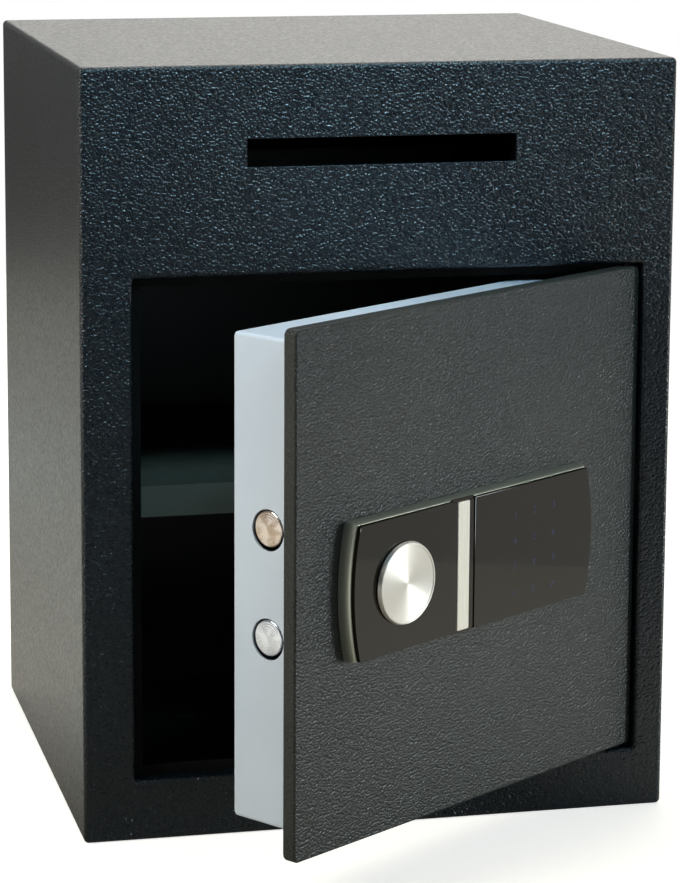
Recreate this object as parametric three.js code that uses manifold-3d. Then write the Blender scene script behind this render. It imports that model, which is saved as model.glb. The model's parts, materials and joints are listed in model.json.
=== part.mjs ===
// A small steel deposit safe: a folded cabinet with a letter slot at the top, and a flush
// door on two pivot pins, shown standing open, with an electronic lock and two round bolts.
// Millimetres. X to the right, Y into the cabinet, Z up, origin at the middle of the base.
import * as THREE from 'three';
import { mergeVertices } from 'three/addons/utils/BufferGeometryUtils.js';
import Module from 'manifold-3d';

const wasm = await Module();
wasm.setup();

// Cabinet
const width = 350;
const height = 450;
const depth = 320;
const sheet = 3;
const outerEdge = 2.5;
const cornerRadius = 3;
const openingLeft = 30;
const openingRight = 18;
const openingBottom = 36;
const openingTop = 120;
const openingCorner = 2;
const foldRadius = 4.5;
const returnDepth = 10;
const stopLip = 6;
const stopLap = 9;
const slotWidth = 158;
const slotHeight = 16;
const slotFromTop = 42;

// Door plate
const doorGap = 2;
const plateThickness = 9;
const plateCorner = 4;
const plateEdge = 1.2;
const openAngle = 35;
const pivotInset = 8;
const pivotDepth = 5.6;
const pinRadius = 2.25;
const pinEmbed = 18;
const pinRunningGap = 0.3;
const hingeBlockWidth = 16;
const hingeBlockHeight = 10;
const hingeBlockDepth = 9;

// Gaps: flat faces that rest on each other inside the turned door keep the seat gap
const seatGap = 0.3;
const runningGap = 0.4;
const cutOverrun = 1;

// Boltwork housing behind the door plate
const housingFree = 9;
const housingHinge = 40;
const housingBelowTop = 8;
const housingAboveBottom = 13.5;
const housingDepth = 45;
const housingSheet = 1.5;
const housingCorner = 3;
const postRadius = 4;
const postInset = 12;
const housingScrewRadius = 1.7;
const housingScrewLength = 12;
const housingScrewHead = 3.4;
const screwHeadHeight = 2;

// Lock on the door front, a little below the door's middle; it also sets the spindle and bolts
const lockBelowMiddle = 2;
const lockWidth = 209;
const lockHeight = 77;
const lockFree = 33.5;
const lockRelief = 8.7;
const lockBow = 5;
const lockRim = 1.6;
const lockEdge = 1;
const facePocket = 2.6;
const faceRise = 2.3;
const faceEdge = 0.4;
const faceReveal = 0.3;
const channelFromLeft = 83.5;
const channelWidth = 18;
const stripWidth = 10;
const stripBelowFace = 0.2;
const stripEdge = 0.4;
const boardThickness = 1.6;
const boardMargin = 6;
const boardPocket = 2.4;
const lockScrewInset = 16;
const lockScrewRadius = 2;
const lockScrewGrip = 3;
const lockScrewHead = 3.6;
const lockScrewHeadHeight = 2.4;

// Knob, spindle and cam
const knobFromLeft = 42;
const knobRadius = 23;
const knobNeck = 18;
const knobRise = 3.2;
const knobRimWidth = 1.5;
const knobRimDepth = 0.35;
const knobClearance = 0.7;
const spindleRadius = 4;
const camRadius = 18;
const camThickness = 4;
const camDepth = 20;
const crankRadius = 12.73;
const crankPinRadius = 3;
const crankPinReach = 13;
const crankPinPlay = 0.7;

// Bolts and their carriage
const boltRadius = 10;
const boltHoleRadius = 11.3;
const boltPitch = 60;
const boltAboveLock = 5;
const boltLength = 40;
const boltFromPlate = 19;
const boltEdge = 1;
const boltTailRadius = 5;
const boltRivetRadius = 7.5;
const boltRivetLength = 3;
const boltThrow = 18;
const carriageSheet = 3;
const carriageFromPlate = 28;
const carriageMargin = 14;
const carriagePastSpindle = 24;
const guideRadius = 3;
const guideCollarRadius = 5.5;
const guideHeadRadius = 5;
const guideHeadLength = 2;
const guideInset = 11;
const guidePlay = 0.6;

// Solenoid that holds the carriage when its plunger drops into the notch
const coilWidth = 20;
const coilHeight = 26;
const solenoidSheet = 2;
const solenoidDepth = 22;
const plungerRadius = 3.5;
const plungerReach = 7;
const plungerTravel = 3;
const notchDepth = 5;
const notchPlay = 1;

// Batteries
const batteryCount = 4;
const batteryRadius = 7.1;
const batteryLength = 49.2;
const batteryNubRadius = 2.6;
const batteryNubLength = 1;
const batteryPitch = 15;
const trayWall = 1.5;
const trayClear = 0.5;
const trayFromHinge = 22;
const trayFromBottom = 26;
const coverThickness = 2;
const coverLap = 4;
const coverTab = 14;

// Deposit chute
const chuteSheet = 1.5;
const chuteSide = 2;
const chuteLength = 150;
const chuteDrop = 46;
const chuteFlange = 12;
const chuteCheek = 34;
const baffleFromFront = 72;
const baffleThroat = 22;
const baffleFlange = 18;

// Shelf, pegs and anchor holes
const shelfTop = 192;
const shelfLip = 19;
const shelfSheet = 1.5;
const shelfFront = 80;
const shelfBack = 8;
const shelfSideGap = 2;
const pegRadius = 3;
const pegReach = 9;
const pegHeadRadius = 5;
const pegHeadLength = 1.5;
const pegInset = 30;
const anchorRadius = 6;
const anchorPlay = 0.3;
const anchorHead = 9;
const anchorHeadHeight = 1.6;
const anchorRecess = 0.5;
const anchorSide = 75;
const anchorDepth = 90;
const anchorRearHeight = 300;

// Facets of the round pieces
const fineSides = 48;
const roundSides = 24;
const smallSides = 16;
const cornerSteps = 4;

// A round-ended slot is rounded by this share of its half width, so that its ends never fold over
const slotEndShare = 0.98;

// Places that follow from the sizes above
const sideX = width / 2;
const frontY = -depth / 2;
const backY = depth / 2;
const openL = -sideX + openingLeft;
const openR = sideX - openingRight;
const openT = height - openingTop;
const openB = openingBottom;
const slotT = height - slotFromTop;
const slotB = slotT - slotHeight;
const pivotX = openR - doorGap - pivotInset;
const pivotY = frontY + pivotDepth;
const plateB = openB + doorGap;
const plateT = openT - doorGap;
const freeX = openL + doorGap - pivotX;
const hingeX = pivotInset;
const plateFront = -pivotDepth;
const plateBack = plateThickness - pivotDepth;
const boxL = freeX + housingFree;
const boxR = hingeX - housingHinge;
const boxT = plateT - housingBelowTop;
const boxB = plateB + housingAboveBottom;
const boxBack = plateBack + housingDepth;
const lockZ = (plateB + plateT) / 2 - lockBelowMiddle;
const lockL = freeX + lockFree;
const lockR = lockL + lockWidth;
const lockFront = plateFront - lockRelief;
const lockSeat = plateFront - seatGap;
const channelL = lockL + channelFromLeft;
const channelR = channelL + channelWidth;
const knobX = lockL + knobFromLeft;
const faceFront = lockFront - faceRise;
const knobFront = faceFront - knobRise;
const boltY = plateBack + boltFromPlate;
const boltMiddle = lockZ + boltAboveLock;
const boltHeights = [boltMiddle - boltPitch / 2, boltMiddle + boltPitch / 2];
const flangeX = boxL + boltLength + seatGap;
const carriageY = plateBack + carriageFromPlate;
const carriageR = knobX + carriagePastSpindle;
const carriageB = boltHeights[0] - carriageMargin;
const carriageT = boltHeights[1] + carriageMargin;
const plungerX = carriageR - boltThrow - plungerRadius - notchPlay * 4;
const trayWidth = batteryLength + batteryNubLength + (trayClear + trayWall) * 2;
const trayHeight = batteryPitch * batteryCount + trayWall * 2;
const trayR = boxR - trayFromHinge;
const trayL = trayR - trayWidth;
const trayB = boxB + trayFromBottom;
const trayT = trayB + trayHeight;

// Solids: closed geometry to manifold and back
function solid(geometry) {
  const bare = geometry.clone();
  bare.deleteAttribute('normal');
  bare.deleteAttribute('uv');
  const merged = mergeVertices(bare);
  return new wasm.Manifold(new wasm.Mesh({
    numProp: 3,
    vertProperties: new Float32Array(merged.attributes.position.array),
    triVerts: new Uint32Array(merged.index.array),
  }));
}

function shaped(body) {
  const mesh = body.getMesh();
  const geometry = new THREE.BufferGeometry();
  geometry.setAttribute('position', new THREE.BufferAttribute(mesh.vertProperties, 3));
  geometry.setIndex(new THREE.BufferAttribute(mesh.triVerts, 1));
  geometry.computeVertexNormals();
  return geometry;
}

function cut(body, ...tools) {
  return tools.reduce((rest, tool) => rest.subtract(tool), body);
}

function join(body, ...others) {
  return others.reduce((whole, other) => whole.add(other), body);
}

// A block between two corners
function block(x0, x1, y0, y1, z0, z1) {
  const box = new THREE.BoxGeometry(x1 - x0, y1 - y0, z1 - z0);
  return solid(box.translate((x0 + x1) / 2, (y0 + y1) / 2, (z0 + z1) / 2));
}

// Round bars along each axis, from their first end to their second
function barX(radius, x0, x1, y, z, sides = roundSides) {
  const bar = new THREE.CylinderGeometry(radius, radius, x1 - x0, sides).rotateZ(Math.PI / 2);
  return solid(bar.translate((x0 + x1) / 2, y, z));
}

function barY(radius, x, y0, y1, z, sides = roundSides) {
  const bar = new THREE.CylinderGeometry(radius, radius, y1 - y0, sides);
  return solid(bar.translate(x, (y0 + y1) / 2, z));
}

function barZ(radius, x, y, z0, z1, sides = roundSides) {
  const bar = new THREE.CylinderGeometry(radius, radius, z1 - z0, sides).rotateX(Math.PI / 2);
  return solid(bar.translate(x, y, (z0 + z1) / 2));
}

// A rectangle with round corners, as a shape or as a hole
function rounded(x0, x1, z0, z1, radius, path = new THREE.Shape()) {
  path.moveTo(x0 + radius, z0);
  path.lineTo(x1 - radius, z0);
  path.absarc(x1 - radius, z0 + radius, radius, -Math.PI / 2, 0);
  path.lineTo(x1, z1 - radius);
  path.absarc(x1 - radius, z1 - radius, radius, 0, Math.PI / 2);
  path.lineTo(x0 + radius, z1);
  path.absarc(x0 + radius, z1 - radius, radius, Math.PI / 2, Math.PI);
  path.lineTo(x0, z0 + radius);
  path.absarc(x0 + radius, z0 + radius, radius, Math.PI, Math.PI * 1.5);
  return path;
}

// A front-view outline given thickness from y0 back to y1, with its edges rounded by edge
function platform(shape, y0, y1, edge = 0) {
  const options = { depth: y1 - y0 - edge * 2, curveSegments: cornerSteps, bevelEnabled: edge > 0 };
  if (edge > 0) {
    Object.assign(options, { bevelThickness: edge, bevelSize: edge, bevelOffset: -edge, bevelSegments: 3 });
  }
  const extruded = new THREE.ExtrudeGeometry(shape, options);
  return solid(extruded.rotateX(Math.PI / 2).translate(0, y1 - edge, 0));
}

// A front plate whose front edges alone are rounded
function faced(shape, y0, y1, edge) {
  const whole = platform(shape, y0, y1 + edge * 2, edge);
  const bounds = new THREE.Box3();
  shape.getPoints(cornerSteps).forEach((p) => bounds.expandByPoint(new THREE.Vector3(p.x, 0, p.y)));
  const margin = cutOverrun;
  return whole.intersect(block(bounds.min.x - margin, bounds.max.x + margin, y0 - margin, y1,
    bounds.min.z - margin, bounds.max.z + margin));
}

// A plan-view outline given height from z0 to z1
function column(shape, z0, z1) {
  const options = { depth: z1 - z0, curveSegments: cornerSteps, bevelEnabled: false };
  return solid(new THREE.ExtrudeGeometry(shape, options).translate(0, 0, z0));
}

// A side-view outline of points [y, z] given width from x0 to x1
function profile(points, x0, x1) {
  const shape = new THREE.Shape(points.map(([y, z]) => new THREE.Vector2(y, z)));
  const extruded = new THREE.ExtrudeGeometry(shape, { depth: x1 - x0, bevelEnabled: false });
  const axes = new THREE.Matrix4().makeBasis(
    new THREE.Vector3(0, 1, 0), new THREE.Vector3(0, 0, 1), new THREE.Vector3(1, 0, 0));
  return solid(extruded.applyMatrix4(axes).translate(x0, 0, 0));
}

// A turned piece: points [radius, distance] along an axis that runs forward, to -Y
function turned(points, x, y, z, sides = roundSides) {
  const lathe = new THREE.LatheGeometry(points.map(([r, d]) => new THREE.Vector2(r, d)), sides);
  return solid(lathe.rotateX(Math.PI).translate(x, y, z));
}

// A low domed screw head whose flat side faces forward at y
function screwHead(radius, rise, x, y, z) {
  const points = [[0, -rise], [radius / 2, -rise], [radius, -rise / 4], [radius, 0], [0, 0]];
  return turned(points, x, y, z, smallSides);
}

// Materials
function finish(color, roughness, metalness) {
  return new THREE.MeshStandardMaterial({ color, roughness, metalness });
}

const texturedNavy = finish(0x232d37, 0.5, 0.1);
const texturedCharcoal = finish(0x3c403e, 0.55, 0.1);
const paleGrey = finish(0xc4ccd2, 0.5, 0.05);
const innerGrey = finish(0x3c4442, 0.6, 0.05);
const zincSteel = finish(0xb2b5b8, 0.4, 0.85);
const brightNickel = finish(0xd8d6d0, 0.22, 0.95);
const satinSilver = finish(0xb9bbb3, 0.35, 0.8);
const spunAluminium = finish(0xe3e2dd, 0.25, 0.9);
const glossBlack = finish(0x0b0b0c, 0.08, 0);
const blackPlastic = finish(0x16171a, 0.5, 0);
const blackRubber = finish(0x1b1b1c, 0.8, 0);
const circuitGreen = finish(0x1f5a3a, 0.5, 0);
const copperWinding = finish(0xa5602c, 0.4, 0.7);
const batteryJacket = finish(0x33373b, 0.35, 0.1);

const safe = new THREE.Group();
const cabinet = new THREE.Group();
const door = new THREE.Group();
safe.add(cabinet, door);
door.position.set(pivotX, pivotY, 0);
door.rotation.z = THREE.MathUtils.degToRad(openAngle);

function add(group, name, body, material) {
  const mesh = new THREE.Mesh(shaped(body), material.clone());
  mesh.name = name;
  group.add(mesh);
  return mesh;
}

// The body wrap: top, bottom and both sides folded from one sheet
function cabinetShell() {
  const outline = rounded(-sideX, sideX, 0, height, cornerRadius);
  outline.holes.push(rounded(-sideX + sheet, sideX - sheet, sheet, height - sheet,
    outerEdge / 2, new THREE.Path()));
  let wrap = platform(outline, frontY + sheet, backY - sheet);
  for (const side of [-1, 1]) {
    wrap = cut(wrap, barZ(anchorRadius, side * anchorSide, backY - anchorDepth,
      -cutOverrun, sheet + cutOverrun));
  }
  for (const peg of pegPlaces()) {
    const wall = [peg.side * (sideX - sheet), peg.side * (sideX - pegHeadLength)].sort((a, b) => a - b);
    wrap = cut(wrap, barX(pegRadius + anchorPlay, wall[0] - cutOverrun, wall[1], peg.y, peg.z, smallSides));
  }
  add(cabinet, 'cabinet_shell', wrap, texturedNavy);
}

// The front panel, with the slot and the door opening whose edges fold back into the cabinet
function frontFrame() {
  const outline = rounded(-sideX, sideX, 0, height, cornerRadius);
  const panel = faced(outline, frontY, frontY + sheet, outerEdge);
  const rim = stopLap + foldRadius;
  const ringShape = rounded(openL - rim, openR + rim, openB - rim, openT + rim, rim);
  ringShape.holes.push(rounded(openL, openR, openB, openT, openingCorner, new THREE.Path()));
  const ring = platform(ringShape, frontY, frontY + returnDepth + foldRadius, foldRadius);
  const keep = block(-sideX, sideX, frontY, frontY + returnDepth, 0, height);
  const clear = rim + cutOverrun;
  const hollowShape = rounded(openL - clear, openR + clear, openB - clear, openT + clear, openingCorner);
  hollowShape.holes.push(rounded(openL - sheet, openR + sheet, openB - sheet, openT + sheet,
    openingCorner, new THREE.Path()));
  const hollow = platform(hollowShape, frontY + sheet, frontY + returnDepth + cutOverrun);
  const front = frontY - cutOverrun;
  const back = frontY + sheet + cutOverrun;
  const doorway = platform(rounded(openL - foldRadius, openR + foldRadius, openB - foldRadius,
    openT + foldRadius, openingCorner), front, back);
  const slot = block(-slotWidth / 2, slotWidth / 2, front, back, slotB, slotT);
  const bore = pinRadius + pinRunningGap;
  const bores = [
    barZ(bore, pivotX, pivotY, openT - cutOverrun, openT + sheet + cutOverrun, smallSides),
    barZ(bore, pivotX, pivotY, openB - sheet - cutOverrun, openB + cutOverrun, smallSides),
  ];
  const frame = join(cut(panel, doorway), cut(ring.intersect(keep), hollow));
  add(cabinet, 'front_frame', cut(frame, slot, ...bores), texturedNavy);
}

// The stop that the door closes against, and that the bolts shoot behind: three sides only
function doorStop() {
  const right = pivotX - pivotInset * 2;
  const shape = new THREE.Shape();
  const outerL = openL - stopLap;
  const outerB = openB - stopLap;
  const outerT = openT + stopLap;
  shape.moveTo(right, outerB);
  shape.lineTo(right, openB + stopLip);
  shape.lineTo(openL + stopLip, openB + stopLip);
  shape.lineTo(openL + stopLip, openT - stopLip);
  shape.lineTo(right, openT - stopLip);
  shape.lineTo(right, outerT);
  shape.lineTo(outerL, outerT);
  shape.lineTo(outerL, outerB);
  const front = frontY + returnDepth;
  add(cabinet, 'door_stop_frame', platform(shape, front, front + sheet), texturedNavy);
}

function rearPanel() {
  let panel = platform(rounded(-sideX, sideX, 0, height, cornerRadius), backY - sheet, backY);
  for (const side of [-1, 1]) {
    panel = cut(panel, barY(anchorRadius, side * anchorSide, backY - sheet - cutOverrun,
      backY + cutOverrun, anchorRearHeight));
  }
  add(cabinet, 'rear_panel', panel, texturedNavy);
}

// The saddles that hold the pivot pins, behind the front panel, above and below the opening
function hingeBlocks() {
  const places = [['top', openT + sheet, 1], ['bottom', openB - sheet, -1]];
  for (const [name, seat, way] of places) {
    const z = [seat, seat + way * hingeBlockHeight].sort((a, b) => a - b);
    const body = block(pivotX - hingeBlockWidth / 2, Math.min(pivotX + hingeBlockWidth / 2, sideX - sheet),
      frontY + sheet, frontY + sheet + hingeBlockDepth, z[0], z[1]);
    const bore = pinRadius + pinRunningGap;
    const hole = barZ(bore, pivotX, pivotY, z[0] - cutOverrun, z[1] + cutOverrun, smallSides);
    const mouth = block(pivotX - bore, pivotX + bore, frontY, pivotY, z[0] - cutOverrun, z[1] + cutOverrun);
    add(cabinet, `hinge_block_${name}`, cut(body, hole, mouth), zincSteel);
  }
}

// The chute under the slot: a sloping floor with cheeks, hung on the front panel
function depositChute() {
  const y0 = frontY + sheet;
  const y1 = y0 + chuteLength;
  const top = slotT + chuteSide;
  const base = slotB - chuteSheet;
  const half = slotWidth / 2 + chuteSheet;
  const slope = [[y0, base], [y1, base - chuteDrop], [y1, slotB - chuteDrop], [y0, slotB]];
  const floor = profile(slope, -half, half);
  const cheek = [[y0, base], [y1, base - chuteDrop], [y1, base - chuteDrop + chuteCheek], [y0, top]];
  const flange = block(-half, half, y0, y0 + chuteSheet, base - chuteFlange, base);
  const cheeks = [profile(cheek, -half - chuteSheet, -half), profile(cheek, half, half + chuteSheet)];
  add(cabinet, 'deposit_chute', join(floor, flange, ...cheeks), innerGrey);
}

// The baffle that keeps a hand or a wire from reaching down the chute
function depositBaffle() {
  const y = frontY + baffleFromFront;
  const roof = height - sheet;
  const share = (baffleFromFront - sheet) / chuteLength;
  const foot = slotB - chuteDrop * share + baffleThroat;
  const half = slotWidth / 2;
  const web = block(-half, half, y, y + chuteSheet, foot, roof);
  const flange = block(-half, half, y, y + baffleFlange, roof - chuteSheet, roof);
  add(cabinet, 'deposit_baffle', join(web, flange), innerGrey);
}

function pegPlaces() {
  const places = [];
  for (const side of [-1, 1]) {
    for (const y of [frontY + shelfFront + pegInset, backY - sheet - shelfBack - pegInset]) {
      places.push({ side, y, z: shelfTop - shelfSheet - pegRadius });
    }
  }
  return places;
}

// The loose shelf: a tray turned over, with a folded lip at the front and back
function shelf() {
  const x = sideX - sheet - shelfSideGap;
  const y0 = frontY + shelfFront;
  const y1 = backY - sheet - shelfBack;
  const top = block(-x, x, y0, y1, shelfTop - shelfSheet, shelfTop);
  const front = block(-x, x, y0, y0 + shelfSheet, shelfTop - shelfLip, shelfTop);
  const back = block(-x, x, y1 - shelfSheet, y1, shelfTop - shelfLip, shelfTop);
  add(cabinet, 'shelf', join(top, front, back), innerGrey);
}

function shelfPegs() {
  const names = ['left_front', 'left_back', 'right_front', 'right_back'];
  pegPlaces().forEach((peg, index) => {
    const wall = peg.side * (sideX - pegHeadLength);
    const face = peg.side * (sideX - sheet);
    const tip = peg.side * (sideX - sheet - pegReach);
    const stem = [wall, tip].sort((a, b) => a - b);
    const collar = [face, face - peg.side * pegHeadLength].sort((a, b) => a - b);
    const collarRadius = pegRadius + pegHeadLength;
    const body = barX(pegRadius, stem[0], stem[1], peg.y, peg.z, smallSides);
    const ring = barX(collarRadius, collar[0], collar[1], peg.y, peg.z, smallSides);
    const flat = block(-width, width, peg.y - pegHeadRadius, peg.y + pegHeadRadius,
      peg.z + pegRadius, peg.z + pegHeadRadius * 2);
    add(cabinet, `shelf_peg_${names[index]}`, cut(join(body, ring), flat), zincSteel);
  });
}

// Rubber plugs in the holes that bolt the safe down or to a wall
function anchorPlugs() {
  const stem = anchorRadius - anchorPlay;
  for (const [name, side] of [['left', -1], ['right', 1]]) {
    const x = side * anchorSide;
    const y = backY - anchorDepth;
    const floor = join(barZ(stem, x, y, anchorRecess, sheet + anchorHeadHeight / 2, smallSides),
      barZ(anchorHead, x, y, sheet, sheet + anchorHeadHeight, roundSides));
    add(cabinet, `floor_plug_${name}`, floor, blackRubber);
    const inner = backY - sheet;
    const rear = join(
      barY(stem, x, inner - anchorHeadHeight / 2, backY - anchorRecess, anchorRearHeight, smallSides),
      barY(anchorHead, x, inner - anchorHeadHeight, inner, anchorRearHeight, roundSides));
    add(cabinet, `rear_plug_${name}`, rear, blackRubber);
  }
}

function doorPlate() {
  const bore = pinRadius + pinRunningGap;
  const front = plateFront - cutOverrun;
  const back = plateBack + cutOverrun;
  const tools = [
    barZ(bore, 0, 0, plateT - pinEmbed - runningGap, plateT + cutOverrun, smallSides),
    barZ(bore, 0, 0, plateB - cutOverrun, plateB + pinEmbed + runningGap, smallSides),
    barY(spindleRadius + runningGap, knobX, front, back, lockZ),
  ];
  for (const x of lockScrewPlaces()) {
    tools.push(barY(lockScrewRadius + runningGap, x, front, back, lockZ, smallSides));
  }
  const outline = rounded(freeX, hingeX, plateB, plateT, plateCorner);
  const plate = platform(outline, plateFront, plateBack, plateEdge);
  add(door, 'door_plate', cut(plate, ...tools), texturedCharcoal);
}

// The pins stay in the door and turn in the saddles
function hingePins() {
  const reach = doorGap + sheet + hingeBlockHeight - seatGap;
  const top = barZ(pinRadius, 0, 0, plateT - pinEmbed, plateT + reach, smallSides);
  const bottom = barZ(pinRadius, 0, 0, plateB - reach, plateB + pinEmbed, smallSides);
  add(door, 'hinge_pin_top', top, zincSteel);
  add(door, 'hinge_pin_bottom', bottom, zincSteel);
}

function postPlaces() {
  const xs = [['free', boxL + postInset], ['hinge', boxR - postInset]];
  const zs = [['lower', boxB + postInset], ['upper', boxT - postInset]];
  return xs.flatMap(([side, x]) => zs.map(([level, z]) => ({ name: `${level}_${side}`, x, z })));
}

// The pale steel box that covers the boltwork, open towards the door plate
function boltworkHousing() {
  const r = housingCorner;
  function plan(inset) {
    const left = boxL + inset;
    const right = boxR - inset;
    const back = boxBack - inset;
    const front = plateBack + seatGap - (inset > 0 ? cutOverrun : 0);
    const radius = Math.max(r - inset, r / 4);
    const shape = new THREE.Shape();
    shape.moveTo(left, front);
    shape.lineTo(right, front);
    shape.lineTo(right, back - radius);
    shape.absarc(right - radius, back - radius, radius, 0, Math.PI / 2);
    shape.lineTo(left + radius, back);
    shape.absarc(left + radius, back - radius, radius, Math.PI / 2, Math.PI);
    return shape;
  }
  const outer = column(plan(0), boxB, boxT);
  const inner = column(plan(housingSheet), boxB + housingSheet, boxT - housingSheet);
  const tools = [inner];
  for (const z of boltHeights) {
    tools.push(barX(boltHoleRadius, boxL - cutOverrun, boxL + housingSheet + cutOverrun,
      boltY, z, fineSides));
  }
  for (const post of postPlaces()) {
    tools.push(barY(housingScrewRadius + runningGap, post.x, boxBack - housingSheet - cutOverrun,
      boxBack + cutOverrun, post.z, smallSides));
  }
  tools.push(block(trayL + trayWall, trayR - trayWall, boxBack - housingSheet - cutOverrun,
    boxBack + cutOverrun, trayB + trayWall, trayT - trayWall));
  add(door, 'boltwork_housing', cut(outer, ...tools), paleGrey);
}

function housingPosts() {
  const y0 = plateBack + seatGap;
  const y1 = boxBack - housingSheet - seatGap;
  for (const post of postPlaces()) {
    const bore = barY(housingScrewRadius + seatGap, post.x, y1 - housingScrewLength,
      y1 + cutOverrun, post.z, smallSides);
    const body = cut(barY(postRadius, post.x, y0, y1, post.z, smallSides), bore);
    add(door, `housing_post_${post.name}`, body, zincSteel);
    const seat = boxBack + seatGap;
    const shank = barY(housingScrewRadius, post.x, y1 - housingScrewLength + runningGap,
      seat + screwHeadHeight / 2, post.z, smallSides);
    const head = screwHead(housingScrewHead, screwHeadHeight, post.x, seat, post.z);
    add(door, `housing_screw_${post.name}`, join(shank, head), zincSteel);
  }
}

function lockScrewPlaces() {
  return [lockL + lockScrewInset / 2 + lockRim * 2, lockR - lockScrewInset / 2 - lockRim * 2];
}

// The outline of the lock: straight top and bottom, bowed ends
function lockOutline(inset, x0 = lockL, x1 = lockR, bowLeft = lockBow, bowRight = lockBow) {
  const half = lockHeight / 2 - inset;
  const left = x0 + inset + bowLeft;
  const right = x1 - inset - bowRight;
  const shape = new THREE.Shape();
  shape.moveTo(left, lockZ - half);
  shape.lineTo(right, lockZ - half);
  if (bowRight > 0) {
    bowTo(shape, right, lockZ - half, lockZ + half, bowRight);
  } else {
    shape.lineTo(right, lockZ + half);
  }
  shape.lineTo(left, lockZ + half);
  if (bowLeft > 0) {
    bowTo(shape, left, lockZ + half, lockZ - half, -bowLeft);
  }
  return shape;
}

// A shallow arc from one corner of an end to the other, standing out by bow
function bowTo(shape, x, z0, z1, bow) {
  const half = Math.abs(z1 - z0) / 2;
  const rise = Math.abs(bow);
  const radius = (half * half + rise * rise) / (rise * 2);
  const spread = Math.asin(half / radius);
  const facing = bow > 0 ? 0 : Math.PI;
  const centre = x + bow - Math.sign(bow) * radius;
  shape.absarc(centre, (z0 + z1) / 2, radius, facing - spread, facing + spread);
}

function lockHousing() {
  const body = faced(lockOutline(0), lockFront, lockSeat, lockEdge);
  const pocketBack = lockFront + facePocket;
  const leftPocket = platform(lockOutline(lockRim, lockL, channelL + lockRim, lockBow, 0),
    lockFront - cutOverrun, pocketBack);
  const rightPocket = platform(lockOutline(lockRim, channelR - lockRim, lockR, 0, lockBow),
    lockFront - cutOverrun, pocketBack);
  const half = lockHeight / 2 - lockRim;
  const channel = block(channelL + seatGap, channelR - seatGap, lockFront - cutOverrun, pocketBack,
    lockZ - half, lockZ + half);
  const board = block(channelR + boardMargin, lockR - lockBow - boardMargin, lockFront,
    pocketBack + boardPocket, lockZ - half + boardMargin, lockZ + half - boardMargin);
  const spindle = barY(spindleRadius + runningGap, knobX, lockFront, lockSeat + cutOverrun, lockZ);
  const wellBack = pocketBack + boardPocket;
  const knobWell = barY(knobNeck + knobClearance, knobX, lockFront, wellBack, lockZ, fineSides);
  const tools = [leftPocket, rightPocket, channel, board, spindle, knobWell];
  for (const x of lockScrewPlaces()) {
    tools.push(barY(lockScrewRadius - seatGap, x, lockSeat - lockScrewGrip,
      lockSeat + cutOverrun, lockZ, smallSides));
  }
  add(door, 'lock_housing', cut(body, ...tools), satinSilver);
}

// One black face: a flange that laps over the bezel's front, and a plug that fills its pocket
function blackFace(x0, x1, bowLeft, bowRight) {
  const outlineAt = (inset) => lockOutline(inset, bowLeft > 0 ? x0 : x0 - inset,
    bowRight > 0 ? x1 : x1 + inset, bowLeft, bowRight);
  const flangeBack = lockFront - seatGap;
  const flange = faced(outlineAt(faceReveal), faceFront, flangeBack, faceEdge);
  const plug = platform(outlineAt(lockRim + seatGap), flangeBack - faceEdge,
    lockFront + facePocket - seatGap);
  return join(flange, plug);
}

// The two black faces, and the silver strip that stands between them
function lockFaces() {
  const pocketBack = lockFront + facePocket - seatGap;
  const left = blackFace(lockL, channelL - seatGap, lockBow, 0);
  const hole = barY(knobNeck + knobClearance, knobX, faceFront - cutOverrun,
    pocketBack + cutOverrun, lockZ, fineSides);
  add(door, 'lock_face_left', cut(left, hole), glossBlack);
  add(door, 'keypad_lens', blackFace(channelR + seatGap, lockR, 0, lockBow), glossBlack);
  const middle = (channelL + channelR) / 2;
  const half = lockHeight / 2 - lockRim - seatGap;
  const outline = rounded(middle - stripWidth / 2, middle + stripWidth / 2, lockZ - half, lockZ + half,
    stripEdge * 2);
  const strip = faced(outline, faceFront + stripBelowFace, pocketBack, stripEdge);
  add(door, 'accent_strip', strip, satinSilver);
}

function keypadBoard() {
  const y0 = lockFront + facePocket + seatGap;
  const half = lockHeight / 2 - lockRim - boardMargin - seatGap;
  const left = channelR + boardMargin + seatGap;
  const right = lockR - lockBow - boardMargin - seatGap;
  const board = block(left, right, y0, y0 + boardThickness, lockZ - half, lockZ + half);
  add(door, 'keypad_board', board, circuitGreen);
}

function lockScrews() {
  const names = ['left', 'right'];
  lockScrewPlaces().forEach((x, index) => {
    const seat = plateBack + seatGap;
    const shank = barY(lockScrewRadius - seatGap * 2, x, lockSeat - lockScrewGrip + runningGap,
      seat + lockScrewHeadHeight / 2, lockZ, smallSides);
    const head = screwHead(lockScrewHead, lockScrewHeadHeight, x, seat, lockZ);
    add(door, `lock_screw_${names[index]}`, join(shank, head), zincSteel);
  });
}

// The knob: a shallow turned cap with a spun face, a raised rim and a neck in its well
function knob() {
  const rise = faceFront - runningGap;
  const neckBack = lockFront + facePocket + boardPocket - runningGap;
  const face = knobFront + knobRimDepth;
  const rim = knobRadius - knobRimWidth;
  const points = [
    [spindleRadius + pinRunningGap, -(neckBack)],
    [knobNeck, -(neckBack)],
    [knobNeck, -(rise)],
    [knobRadius, -(rise)],
    [knobRadius, -(knobFront + knobRimWidth / 2)],
    [knobRadius - knobRimWidth / 4, -(knobFront + knobRimWidth / 4)],
    [knobRadius - knobRimWidth / 2, -knobFront],
    [rim, -knobFront],
    [rim - knobRimDepth, -face],
    [0, -face],
    [0, -(face + knobRise / 2)],
    [spindleRadius + pinRunningGap, -(face + knobRise / 2)],
    [spindleRadius + pinRunningGap, -(neckBack)],
  ];
  add(door, 'knob', turned(points, knobX, 0, lockZ, fineSides), spunAluminium);
}

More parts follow.
